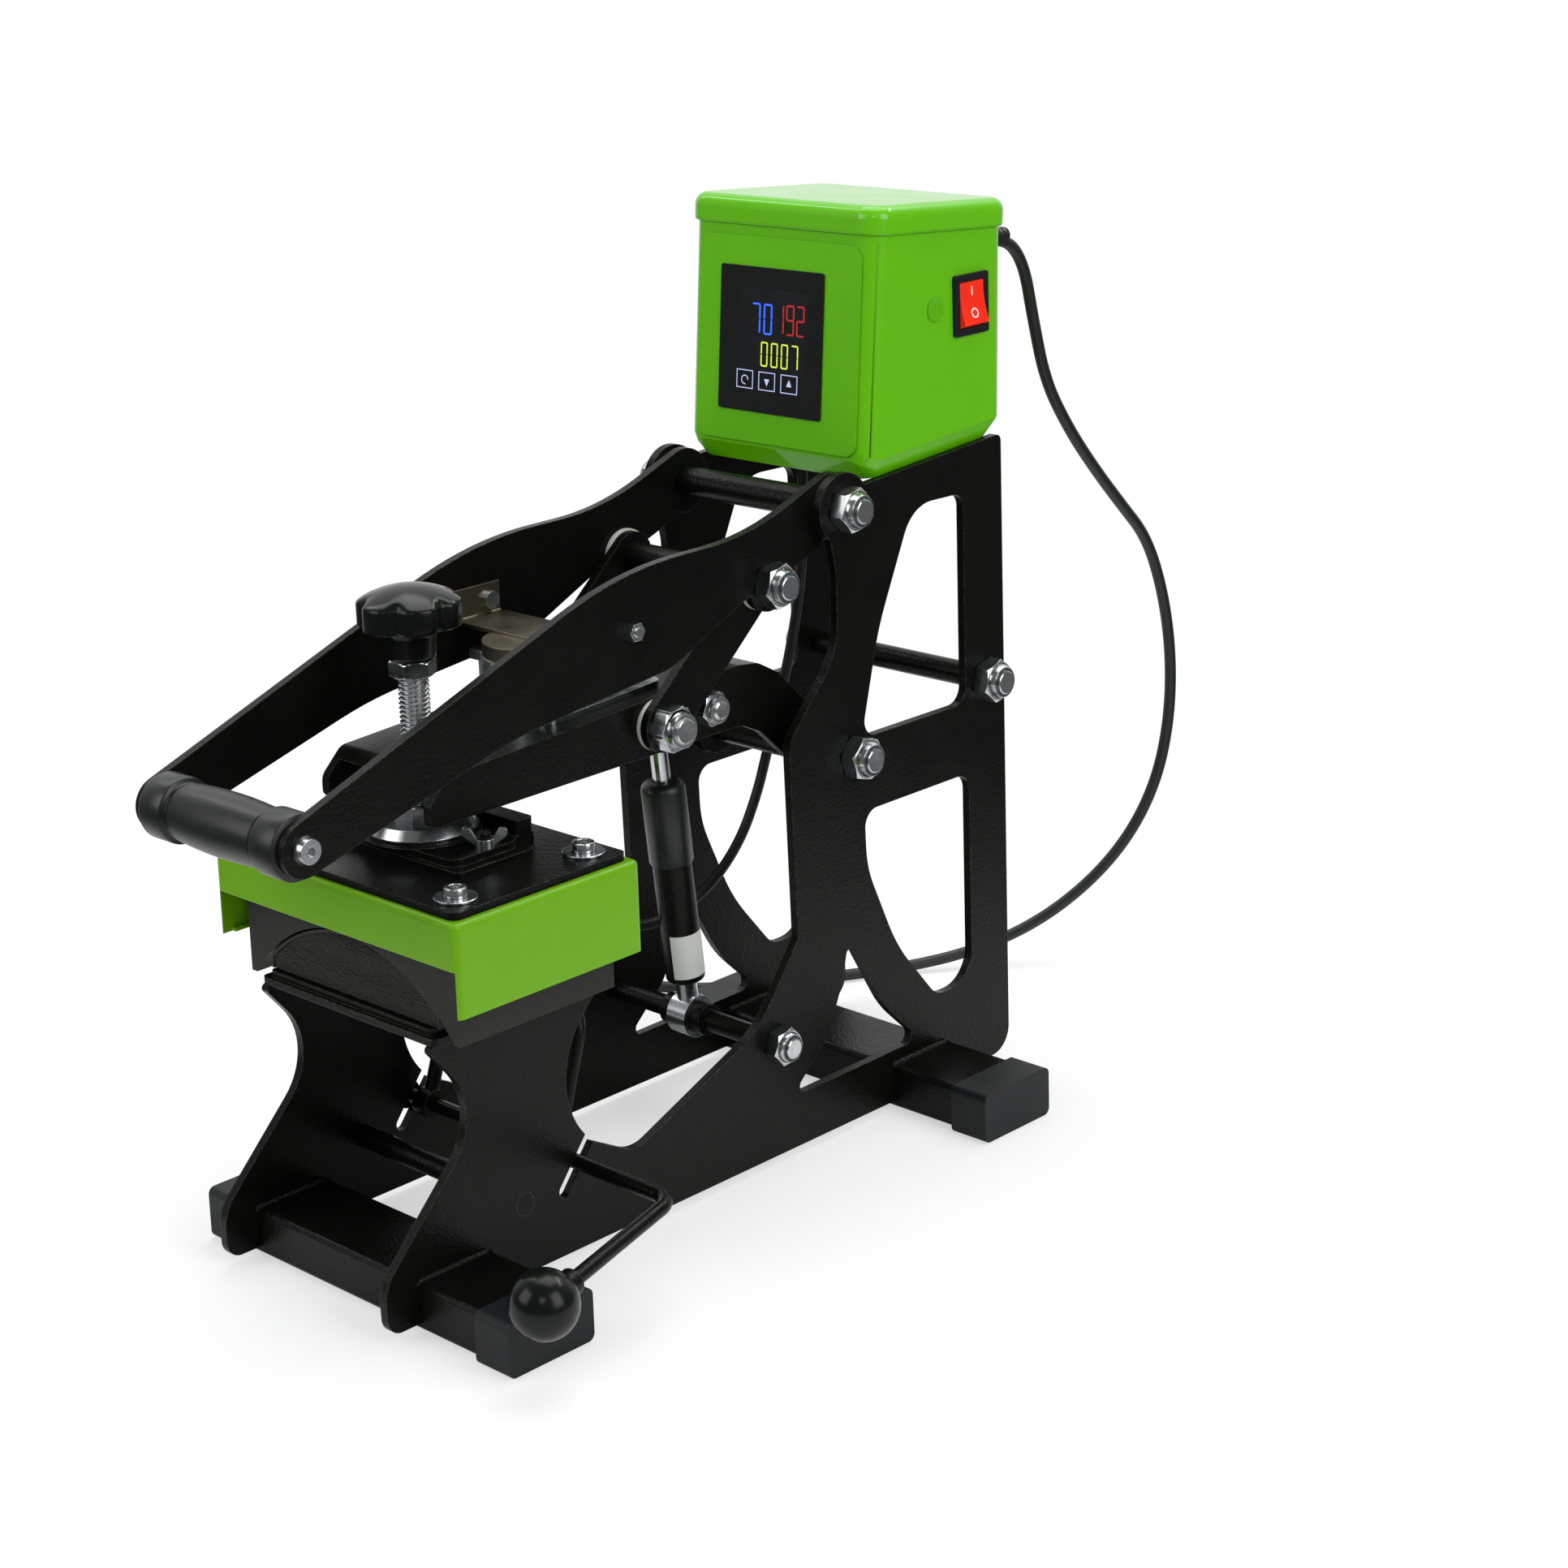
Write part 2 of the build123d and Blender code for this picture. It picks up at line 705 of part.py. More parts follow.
with BuildPart() as stop_bolt:
    head_low = keeper_z - gap - stop_head_h
    stop_seat = web_z(stop_y + 9) + 0.02
    with BuildSketch(Plane.XY.offset(stop_seat)):
        with Locations((stop_x, stop_y)):
            Circle(stop_r)
    extrude(amount=head_low - stop_seat)
    with BuildSketch(Plane.XY.offset(head_low)):
        with Locations((stop_x, stop_y)):
            RegularPolygon(stop_af / 2, 6, major_radius=False)
    extrude(amount=stop_head_h)

with BuildPart() as screw_bush:
    with BuildSketch(Plane.XY.offset(web_z(head_y) - bush_h - 0.7)):
        with Locations((0, head_y)):
            Circle(bush_r)
            Circle(thread_r + fit, mode=Mode.SUBTRACT)
    extrude(amount=bush_h)

# Pressing head -------------------------------------------------------------------------------

with BuildPart() as screw_flange:
    with BuildSketch(Plane.XY.offset(flange_z)):
        with Locations((0, head_y)):
            Circle(flange_r)
    extrude(amount=flange_h, taper=35)
    with BuildSketch(Plane.XY.offset(flange_top_z)):
        with Locations((0, head_y)):
            RegularPolygon(flange_hex_af / 2, 6, major_radius=False)
    extrude(amount=flange_hex_h)
    with Locations((0, head_y, flange_z)):
        Cylinder(thread_r + fit, 60, mode=Mode.SUBTRACT)

with BuildPart() as head_boss:
    with BuildSketch(Plane(origin=(0, head_y, 0), x_dir=(1, 0, 0), z_dir=(0, -1, 0))):
        with BuildLine():
            Polyline((thread_r + fit, boss_z), (boss_foot_r, boss_z))
            ThreePointArc((boss_foot_r, boss_z), (boss_r + 0.4, boss_z + 1.2), (boss_r, flange_z))
            Polyline((boss_r, flange_z), (thread_r + fit, flange_z), (thread_r + fit, boss_z))
        make_face()
    revolve(axis=Axis((0, head_y, 0), (0, 0, 1)))

rear_block_depth = rear_block_rear_y - rear_block_front_y
with BuildPart() as mount_plate:
    with BuildSketch(Plane.XY.offset(mount_z)):
        with Locations((0, head_y)):
            RectangleRounded(2 * lower_step_half, lower_step_depth, 4)
        with Locations((0, rear_block_rear_y)):
            Rectangle(2 * rear_block_half, rear_block_rear_y - head_y, align=(Align.CENTER, Align.MAX))
    extrude(amount=lower_step_h)
    with BuildSketch(Plane.XY.offset(lower_step_z)):
        with Locations((0, head_y)):
            RectangleRounded(2 * upper_step_half, lower_step_depth - 6, 8)
    extrude(amount=upper_step_h)
    with BuildSketch(Plane.XY.offset(lower_step_z)):
        with Locations((0, rear_block_rear_y - rear_block_depth / 2)):
            RectangleRounded(2 * rear_block_half, rear_block_depth, 2)
    extrude(amount=2 * upper_step_h)
    with BuildSketch(Plane.XY.offset(boss_z)):
        with Locations((stud_x, stud_y), (-stud_x, stud_y)):
            Circle(stud_r)
    extrude(amount=wing_hub_h + 3)
    with Locations((0, head_y, mount_z)):
        Cylinder(thread_r + fit, 40, mode=Mode.SUBTRACT)

with BuildPart() as top_plate:
    with BuildSketch(Plane.XY.offset(shroud_top_z)):
        with Locations((0, head_y)):
            RectangleRounded(2 * top_plate_half, top_plate_depth, 5)
            with GridLocations(2 * head_bolt_x, 2 * head_bolt_dy, 2, 2):
                Circle(head_bolt_r + fit, mode=Mode.SUBTRACT)
    extrude(amount=top_plate_t)

with BuildPart() as top_plate_bolts:
    with Locations((0, head_y, mount_z)):
        with GridLocations(2 * head_bolt_x, 2 * head_bolt_dy, 2, 2):
            Cylinder(head_washer_r, head_washer_t, align=(Align.CENTER, Align.CENTER, Align.MIN))
    with BuildSketch(Plane.XY.offset(mount_z + head_washer_t)):
        with Locations((0, head_y)):
            with GridLocations(2 * head_bolt_x, 2 * head_bolt_dy, 2, 2):
                RegularPolygon(head_bolt_af / 2, 6, major_radius=False)
    extrude(amount=head_bolt_h)
    with BuildSketch(Plane.XY.offset(block_top_z)):
        with Locations((0, head_y)):
            with GridLocations(2 * head_bolt_x, 2 * head_bolt_dy, 2, 2):
                Circle(head_bolt_r)
    extrude(amount=mount_z + head_washer_t - block_top_z)
    # Shoulders that space the heater block from the shroud
    with BuildSketch(Plane.XY.offset(block_top_z)):
        with Locations((0, head_y)):
            with GridLocations(2 * head_bolt_x, 2 * head_bolt_dy, 2, 2):
                Circle(head_bolt_r + 3)
    extrude(amount=shroud_top_z - shroud_t - block_top_z)

with BuildPart() as heater_shroud:
    with BuildSketch(Plane.XY.offset(shroud_side_z)):
        with Locations((0, head_y)):
            RectangleRounded(2 * shroud_half, shroud_depth, 4)
    extrude(amount=shroud_side_h)
    fillet(faces().sort_by(Axis.Z)[-1].edges(), 3)
    with BuildSketch(Plane.XY.offset(shroud_side_z + shroud_t)):
        with Locations((0, head_y)):
            RectangleRounded(2 * (shroud_half - shroud_t), shroud_depth - 2 * shroud_t, 2.5)
    extrude(amount=shroud_side_h - 2 * shroud_t, mode=Mode.SUBTRACT)
    # The folded lip stays along the sides, and the front wall is cut short
    with BuildSketch(Plane.XY.offset(shroud_side_z - 1)):
        with Locations((0, head_y)):
            Rectangle(2 * (shroud_half - shroud_lip), shroud_depth - 2 * shroud_t)
    extrude(amount=shroud_t + 2, mode=Mode.SUBTRACT)
    with BuildSketch(Plane.XY.offset(shroud_side_z - 1)):
        with Locations((0, head_front_y)):
            Rectangle(2 * shroud_half - 2 * shroud_t, 14)
    extrude(amount=shroud_side_h - shroud_front_h + 1, mode=Mode.SUBTRACT)
    with BuildSketch(Plane.XZ.offset(-head_y - shroud_depth / 2 - 1)):
        with Locations((lead_x, lead_hole_z)):
            Circle(cable_hole_r)
    extrude(amount=shroud_t + 2, mode=Mode.SUBTRACT)
    with Locations((0, head_y, shroud_top_z)):
        with GridLocations(2 * head_bolt_x, 2 * head_bolt_dy, 2, 2):
            Cylinder(head_bolt_r + fit, 12, mode=Mode.SUBTRACT)

with BuildPart() as heater_block:
    with BuildSketch(Plane.XZ.offset(-head_y - block_depth / 2)):
        with Locations((0, block_bottom_z)):
            Rectangle(2 * block_half, block_top_z - block_bottom_z, align=(Align.CENTER, Align.MIN))
        with Locations((0, arch_z)):
            Circle(arch_r, mode=Mode.SUBTRACT)
    extrude(amount=block_depth)

def wing_nut(x):
    with BuildSketch(Plane.XY.offset(boss_z)) as hub:
        with Locations((x, stud_y)):
            Circle(wing_hub_r)
            Circle(stud_r + fit, mode=Mode.SUBTRACT)
    extrude(hub.sketch, amount=wing_hub_h)
    with BuildSketch(Plane(origin=(x, stud_y, boss_z), x_dir=(0.78, 0.62, 0), z_dir=(0.62, -0.78, 0))) as wings:
        for side in (-1, 1):
            with BuildLine():
                FilletPolyline(
                    (side * (wing_hub_r - 1), 0.6),
                    (side * wing_span / 2, wing_h - 4),
                    (side * wing_span / 2, wing_h),
                    (side * (wing_span / 2 - 4), wing_h),
                    (side * (wing_hub_r - 1), wing_hub_h - 0.4),
                    radius=[0, 1.5, 1.5, 1.5, 0],
                    close=True,
                )
            make_face()
    extrude(wings.sketch, amount=wing_t / 2, both=True)


with BuildPart() as wing_nut_right:
    wing_nut(stud_x)

with BuildPart() as wing_nut_left:
    wing_nut(-stud_x)

# Pressure screw and knob -----------------------------------------------------------------------

with BuildPart() as pressure_screw:
    with BuildSketch(Plane.XY.offset(screw_foot_z)):
        with Locations((0, head_y)):
            Circle(thread_r)
    extrude(amount=knob_lobe_z - screw_foot_z)
    # Jam nut under the knob
    with BuildSketch(Plane.XY.offset(jam_nut_z)):
        with Locations((0, head_y)):
            RegularPolygon(jam_nut_af / 2, 6, major_radius=False)
    extrude(amount=jam_nut_h)

knob_hub_z = jam_nut_z + jam_nut_h
with BuildPart() as star_knob:
    with BuildSketch(Plane(origin=(0, head_y, 0), x_dir=(1, 0, 0), z_dir=(0, -1, 0))):
        with BuildLine():
            crown = knob_lobe_z + knob_lobe_h
            Polyline((0, knob_lobe_z), (thread_r + fit, knob_lobe_z), (thread_r + fit, knob_hub_z), (knob_hub_r - 1, knob_hub_z), (knob_hub_r, knob_hub_z + 2), (knob_hub_r - 0.5, knob_lobe_z + 2), (knob_r - knob_lobe_r, knob_lobe_z + 2), (knob_r - knob_lobe_r, crown))
            ThreePointArc((knob_r - knob_lobe_r, crown), (12, knob_top_z - 2.2), (0, knob_top_z))
            Line((0, knob_top_z), (0, knob_lobe_z))
        make_face()
    revolve(axis=Axis((0, head_y, 0), (0, 0, 1)))
    with BuildSketch(Plane.XY.offset(knob_lobe_z)):
        with Locations((0, head_y)):
            with PolarLocations(knob_r - knob_lobe_r, knob_lobes):
                Circle(knob_lobe_r)
            Circle(thread_r + 3, mode=Mode.SUBTRACT)
    extrude(amount=knob_lobe_h)
    with Locations((0, head_y, knob_lobe_z)):
        Cylinder(thread_r + fit, 2 * (knob_lobe_z - knob_hub_z), mode=Mode.SUBTRACT, align=(Align.CENTER, Align.CENTER, Align.MAX))

# Gas strut -----------------------------------------------------------------------------------


def along_strut(distance):
    """Plane across the strut, at a distance from its foot pivot."""
    at = Vector(0, *strut_foot) + strut_dir * distance
    return Plane(origin=at, x_dir=(1, 0, 0), z_dir=strut_dir)


strut_tube_top = strut_tube_low + strut_tube_l
with BuildPart() as strut_cylinder:
    with BuildSketch(along_strut(strut_tube_low)):
        Circle(strut_r)
    extrude(amount=strut_tube_l)
    fillet(edges().filter_by(GeomType.CIRCLE), 2)
    with BuildSketch(along_strut(strut_tube_low + 6)):
        Circle(strut_rod_r + fit)
    extrude(amount=strut_tube_l, mode=Mode.SUBTRACT)

with BuildPart() as strut_lower_eye:
    tube(strut_foot, eye_r, strut_shaft_r + fit, -eye_half, eye_half)
    with BuildSketch(along_strut(eye_r - 2)):
        Circle(neck_r)
    extrude(amount=strut_tube_low - eye_r + 2)

rod_low = strut_tube_low + 30
with BuildPart() as strut_rod:
    with BuildSketch(along_strut(rod_low)):
        Circle(strut_rod_r)
    extrude(amount=strut_length - top_eye_r + 2 - rod_low)
    tube(strut_top, top_eye_r, strut_pin_r + top_eye_room, -top_eye_half, top_eye_half)

# Hold-down lever -----------------------------------------------------------------------------

ball_centre = Vector(*ball_at)
elbow = Vector(lever_bend_x, *lever_pivot)
lever_dir = (ball_centre - elbow).normalized()
collar_far = (ball_centre - elbow).length - ball_r + 3
with BuildPart() as lever_rod:
    with BuildLine() as lever_path:
        FilletPolyline((lever_far_x, *lever_pivot), tuple(elbow), tuple(elbow + lever_dir * collar_far), radius=12)
    with BuildSketch(yz(lever_far_x)):
        with Locations(lever_pivot):
            Circle(lever_r)
    sweep(path=lever_path.line)
    with BuildSketch(Plane(origin=elbow + lever_dir * (collar_far - lever_collar_l), z_dir=lever_dir)):
        Circle(lever_collar_r)
    extrude(amount=lever_collar_l - 0.5)
    # Small retaining collar outside the far plate
    for x0 in (-frame_outer - gap - 4,):
        rod(lever_pivot, lever_r + 4, x0, x0 + 4)

with BuildPart() as ball_knob:
    with Locations(tuple(ball_centre)):
        Sphere(ball_r)
    socket = Plane(origin=ball_centre, z_dir=-lever_dir)
    with BuildSketch(socket.offset(ball_r - 3 - 3)):
        Circle(lever_r + 0.5)
    extrude(amount=20, mode=Mode.SUBTRACT)
    with BuildSketch(socket.offset(ball_r - 3)):
        Circle(ball_r)
    extrude(amount=20, mode=Mode.SUBTRACT)

# Wire bail that presses the cap's brim down, turning with the lever's rod
bail_dir = Vector(0, sin(radians(bail_tilt)), cos(radians(bail_tilt)))
bail_root = Vector(0, *lever_pivot)
with BuildPart() as hold_down_bail:
    low = bail_root + bail_dir * (bail_eye_r - 1)
    high = bail_root + bail_dir * bail_h
    with BuildLine() as bail_path:
        FilletPolyline(
            (-bail_x, low.Y, low.Z),
            (-bail_x, high.Y, high.Z),
            (bail_x, high.Y, high.Z),
            (bail_x, low.Y, low.Z),
            radius=16,
        )
    with BuildSketch(Plane(origin=(-bail_x, low.Y, low.Z), z_dir=bail_dir)):
        Circle(lever_r)
    sweep(path=bail_path.line)
    for x0 in (-bail_x - bail_eye_l / 2, bail_x - bail_eye_l / 2):
        tube(lever_pivot, bail_eye_r, lever_r + fit, x0, x0 + bail_eye_l)

# Control box ---------------------------------------------------------------------------------

front_tilt = (box_front_top_y - box_front_y) / (516 - box_bottom_front_z)
panel_dir = Vector(0, front_tilt, 1).normalized()
box_front = Plane(origin=(0, box_front_y, box_bottom_front_z), x_dir=(1, 0, 0), z_dir=-Vector(0, 1, -front_tilt).normalized())


def box_front_at(z):
    return box_front_y + (z - box_bottom_front_z) * front_tilt


def box_rear_at(z):
    return box_rear_y + (z - box_bottom_front_z) * (box_rear_top_y - box_rear_y) / 140


with BuildPart() as control_box:
    with BuildSketch(yz(-box_half)):
        with BuildLine():
            Polyline(
                (box_front_y, seat_z(box_front_y)),
                (box_front_at(box_shell_front_z), box_shell_front_z),
                (box_rear_at(box_shell_rear_z), box_shell_rear_z),
                (box_rear_y, seat_z(box_rear_y)),
                close=True,
            )
        make_face()
    extrude(amount=2 * box_half)
    underside = faces().sort_by(Axis.Z)[0]
    chamfer(underside.edges(), box_bevel_w, box_bevel_h, reference=underside)
    # The corners' rounding follows the uprights and the mitres of the bevel
    fillet(edges().filter_by(lambda e: abs(e.tangent_at(0.5).Z) > 0.4), box_corner_r)

    # Hollow above the bevel, with a window in the side wall for the rocker
    inside_z = seat_z(box_front_y) + box_bevel_h + box_wall
    with BuildSketch(yz(-box_half + box_wall)):
        with BuildLine():
            Polyline(
                (box_front_at(inside_z) + 1.5 * box_wall, inside_z),
                (box_front_at(box_shell_front_z) + 1.5 * box_wall, box_shell_front_z - 1.5 * box_wall),
                (box_rear_at(box_shell_rear_z) - 1.5 * box_wall, box_shell_rear_z - 1.5 * box_wall),
                (box_rear_at(inside_z) - 1.5 * box_wall, inside_z + 10),
                close=True,
            )
        make_face()
    extrude(amount=2 * (box_half - box_wall), mode=Mode.SUBTRACT)
    with BuildSketch(yz(box_half - 2 * box_wall)):
        with Locations((bezel_y, bezel_z)):
            Rectangle(bezel_w - 2 * bezel_lip, bezel_h - 2 * bezel_lip)
    extrude(amount=3 * box_wall, mode=Mode.SUBTRACT)

rocker_r = bezel_h / 2 - bezel_lip - gap
rocker_axis_x = box_half - rocker_axis_depth
with BuildPart() as control_lid:
    lid_low = Plane(
        origin=(0, box_front_at(box_shell_front_z), box_shell_front_z),
        x_dir=(1, 0, 0),
        z_dir=Vector(0, box_shell_front_z - box_shell_rear_z, box_rear_at(box_shell_rear_z) - box_front_at(box_shell_front_z)).normalized(),
    )
    lid_depth = hypot(box_rear_at(box_shell_rear_z) - box_front_at(box_shell_front_z), box_shell_front_z - box_shell_rear_z)
    with BuildSketch(lid_low):
        with Locations((0, lid_depth / 2)):
            RectangleRounded(2 * (box_half + lid_over), lid_depth + 2 * lid_over, box_corner_r + lid_over)
    extrude(amount=lid_h)
    fillet(faces().sort_by(Axis.Z)[-1].edges(), lid_round)
    fillet(faces().sort_by(Axis.Z)[0].edges(), 2)
    with BuildSketch(lid_low):
        with Locations((0, lid_depth / 2)):
            RectangleRounded(2 * (box_half - box_wall), lid_depth - 2 * box_wall, box_corner_r)
    extrude(amount=lid_h - box_wall, mode=Mode.SUBTRACT)

with BuildPart() as front_panel:
    with BuildSketch(box_front):
        with Locations((0, panel_low + panel_h / 2)):
            RectangleRounded(2 * panel_half, panel_h, panel_r)
    extrude(amount=panel_t)

with BuildPart() as display:
    with BuildSketch(box_front.offset(panel_t)):
        with Locations((display_x, panel_low + display_low + display_h / 2)):
            RectangleRounded(display_w, display_h, 1.5)
    extrude(amount=display_t)

with BuildPart() as rocker_bezel:
    with BuildSketch(yz(box_half)):
        with Locations((bezel_y, bezel_z)):
            RectangleRounded(bezel_w, bezel_h, 1.5)
            Rectangle(bezel_w - 2 * bezel_lip, bezel_h - 2 * bezel_lip, mode=Mode.SUBTRACT)
    extrude(amount=bezel_t)

# Rocker: round ends about its own axis, and a dished face between them
with BuildPart() as rocker_button:
    rocker_plane = Plane(origin=(rocker_axis_x, bezel_y, bezel_z), x_dir=(1, 0, 0), z_dir=(0, -1, 0))
    low_tip = (rocker_r * sin(radians(rocker_low_angle)), -rocker_r * cos(radians(rocker_low_angle)))
    high_tip = (rocker_r * sin(radians(rocker_high_angle)), rocker_r * cos(radians(rocker_high_angle)))
    back_h = (rocker_r**2 - rocker_depth**2) ** 0.5
    with BuildSketch(rocker_plane):
        with BuildLine():
            Line((-rocker_depth, back_h), (-rocker_depth, -back_h))
            ThreePointArc((-rocker_depth, -back_h), (0, -rocker_r), low_tip)
            ThreePointArc(low_tip, (rocker_axis_depth + bezel_t + 0.6, 0.6), high_tip)
            ThreePointArc(high_tip, (0, rocker_r), (-rocker_depth, back_h))
        make_face()
    extrude(amount=bezel_w / 2 - bezel_lip - gap, both=True)

with BuildPart() as side_plug:
    with BuildSketch(yz(box_half)):
        with Locations((plug_y, plug_z)):
            Circle(plug_r)
    extrude(amount=plug_t)
    fillet(edges().filter_by(GeomType.CIRCLE).sort_by(Axis.X)[-1], 0.6)

# Mains gland, cord, coil and plug --------------------------------------------------------------

gland_y = box_rear_at(gland_z)
gland_end_y = gland_y + gland_l
with BuildPart() as cord_gland:
    rear_normal = Vector(0, 1, -(box_rear_top_y - box_rear_y) / 140).normalized()
    gland_plane = Plane(origin=(gland_x, gland_y, gland_z), x_dir=(1, 0, 0), z_dir=rear_normal)
    with BuildSketch(gland_plane):
        RegularPolygon(gland_r + 1, 6, major_radius=False)
    extrude(amount=gland_l / 2)
    with BuildSketch(gland_plane.offset(gland_l / 2)):
        Circle(gland_r)
    extrude(amount=gland_l / 2, taper=12)


def cord_line(points):
    """Straight runs joined by arcs as large as the runs allow."""
    at = [Vector(*point) for point in points]
    radii = []
    for before, here, after in zip(at, at[1:], at[2:]):
        turn = (here - before).get_angle(after - here)
        run = min((here - before).length, (after - here).length)
        radii.append(0.45 * run / tan(radians(turn / 2)))
    print("cord radii", [round(radius) for radius in radii])
    with BuildLine() as route:
        FilletPolyline(*at, radius=radii)
    return route.wire()


def cord_volume(name, solid, line, radius):
    print(name, "length", round(line.length), "volume over section times length", round(solid.volume / (pi * radius**2 * line.length), 4))


gland_end = gland_plane.origin + rear_normal * gland_l
coil_x, coil_y = coil_at
mains_line = cord_line(
    [
        tuple(gland_end),
        tuple(gland_end + rear_normal * 24),
        (40, 313.5, 465),
        (40, 322, 429),
        (40.5, 332, 391),
        (41, 353, 359),
        (41, 377, 331),
        (41, 403, 304),
        (41, 429, 278),
        (40.5, 446, 240),
        (40, 455, 198),
        (38, 456, 155),
        (33, 449, 114),
        (22, 434, 78),
        (5, 412, 48),
        (-17, 384, 24),
        (-43, 352, 9),
        (-68, 316, cord_r),
        (-87, 284, cord_r),
        (-106, 254, cord_r),
        (-129, 221, cord_r),
        (-153, 200, cord_r),
        (coil_x + 26, coil_y + coil_r, cord_r),
        (coil_x, coil_y + coil_r, cord_r),
    ]
)
with BuildPart() as mains_cord:
    with BuildSketch(Plane(origin=gland_end, z_dir=rear_normal)):
        Circle(cord_r)
    sweep(path=mains_line)
cord_volume("mains_cord", mains_cord.part, mains_line, cord_r)


def coil_point(turn):
    """Three and a half loops: drawn in on the floor, half a turn up a layer, and let out on top."""
    if turn <= rise_start:
        radius, height = coil_r - coil_step * turn, cord_r
    elif turn <= rise_end:
        rise = (1 - cos(pi * (turn - rise_start) / (rise_end - rise_start))) / 2
        radius, height = coil_r - coil_step * rise_start, cord_r + coil_layer * rise
    else:
        radius, height = coil_r - coil_step * (coil_turns - turn), cord_r + coil_layer
    angle = pi / 2 + 2 * pi * turn
    return Vector(coil_x + radius * cos(angle), coil_y + radius * sin(angle), height)


def coil_heading(turn):
    if turn in (0, coil_turns):
        return Vector(-1, 0, 0) if turn == 0 else Vector(1, 0, 0)
    return (coil_point(turn + 0.001) - coil_point(turn - 0.001)).normalized()


coil_stops = [quarter / 4 for quarter in range(round(coil_turns * 4) + 1)]
with BuildLine() as coil_line:
    for first, last in zip(coil_stops, coil_stops[1:]):
        start, end, leave, arrive = coil_point(first), coil_point(last), coil_heading(first), coil_heading(last)
        chord, both = end - start, leave + arrive
        bend = 2 * (1 - leave.dot(arrive))
        reach = (-chord.dot(both) + ((chord.dot(both)) ** 2 + bend * chord.dot(chord)) ** 0.5) / bend
        low_corner, high_corner = start + leave * reach, end - arrive * reach
        middle = (low_corner + high_corner) / 2
        TangentArc(start, middle, tangent=leave)
        TangentArc(middle, end, tangent=(high_corner - low_corner).normalized())
    coil_end = coil_point(coil_stops[-1])
    Line(coil_end, coil_end + Vector(2 * cord_r, 0, 0))
with BuildPart() as mains_cord_coil:
    with BuildSketch(Plane(origin=coil_point(0), z_dir=coil_heading(0))):
        Circle(cord_r)
    coil_wire = coil_line.wire()
    sweep(path=coil_wire)
cord_volume("mains_cord_coil", mains_cord_coil.part, coil_wire, cord_r)
coil_samples = [coil_point(step / 80) for step in range(round(coil_turns * 80) + 1)]
coil_gap = min(
    (here - there).length for place, here in enumerate(coil_samples) for there in coil_samples[place + 40 :]
) - 2 * cord_r
print("mains_cord_coil least gap to itself", round(coil_gap, 2))

tail_start = coil_end + Vector(2 * cord_r, 0, 0)
tail_end = tail_start + Vector(50, -3, 0)
tail_line = cord_line([tuple(tail_start), tuple(tail_start + Vector(24, 0, 0)), tuple(tail_end)])
tail_heading = (tail_line % 1).normalized()
with BuildPart() as mains_cord_tail:
    with BuildSketch(Plane(origin=tail_start, z_dir=(1, 0, 0))):
        Circle(cord_r)
    sweep(path=tail_line)
cord_volume("mains_cord_tail", mains_cord_tail.part, tail_line, cord_r)

with BuildPart() as mains_plug:
    plug_plane = Plane(origin=tail_end, x_dir=Vector(-tail_heading.Y, tail_heading.X, 0), z_dir=tail_heading)
    with BuildSketch(plug_plane):
        Circle(cord_r + 1.5)
    extrude(amount=10)
    with BuildSketch(plug_plane.offset(9)):
        RectangleRounded(mains_plug_w * 0.6, mains_plug_h * 0.75, 5)
    with BuildSketch(plug_plane.offset(mains_plug_l)):
        RectangleRounded(mains_plug_w, mains_plug_h, 5)
    loft()
    with BuildSketch(plug_plane.offset(mains_plug_l)):
        with GridLocations(plug_pin_gap, 1, 2, 1):
            Circle(plug_pin_r)
    extrude(amount=plug_pin_l)

# Heater lead: from the box down behind the arm, then slack under the arm to the head's back
lead_split = (lead_x, 152, 196)
lead_top = seat_z(178 - heater_lead_r) - fit
frame_lead_line = cord_line([(-12, 178, lead_top), (-12, 178, lead_top - 38), (-13, 175, 293), (-17, 169, 254), (-21, 161, 221), lead_split])
with BuildPart() as heater_lead_frame:
    with BuildSketch(Plane(origin=(-12, 178, lead_top), z_dir=(0, 0, -1))):
        Circle(heater_lead_r)
    sweep(path=frame_lead_line)
cord_volume("heater_lead_frame", heater_lead_frame.part, frame_lead_line, heater_lead_r)

split_dir = Vector(frame_lead_line % 1).normalized()
arm_lead_start = Vector(*lead_split) + split_dir * gap
block_rear_y = head_y + block_depth / 2
arm_lead_line = cord_line(
    [
        tuple(arm_lead_start),
        tuple(arm_lead_start + split_dir * 24),
        (lead_x, 127, 148),
        (lead_x, 101, 128),
        (lead_x, 67, 118),
        (lead_x, 32, 123),
        (lead_x, 1, 141),
        (lead_x, -25, 168),
        (lead_x, -48, lead_hole_z),
        (lead_x, block_rear_y + gap, lead_hole_z),
    ]
)
with BuildPart() as heater_lead_arm:
    with BuildSketch(Plane(origin=arm_lead_start, z_dir=split_dir)):
        Circle(heater_lead_r)
    sweep(path=arm_lead_line)
cord_volume("heater_lead_arm", heater_lead_arm.part, arm_lead_line, heater_lead_r)

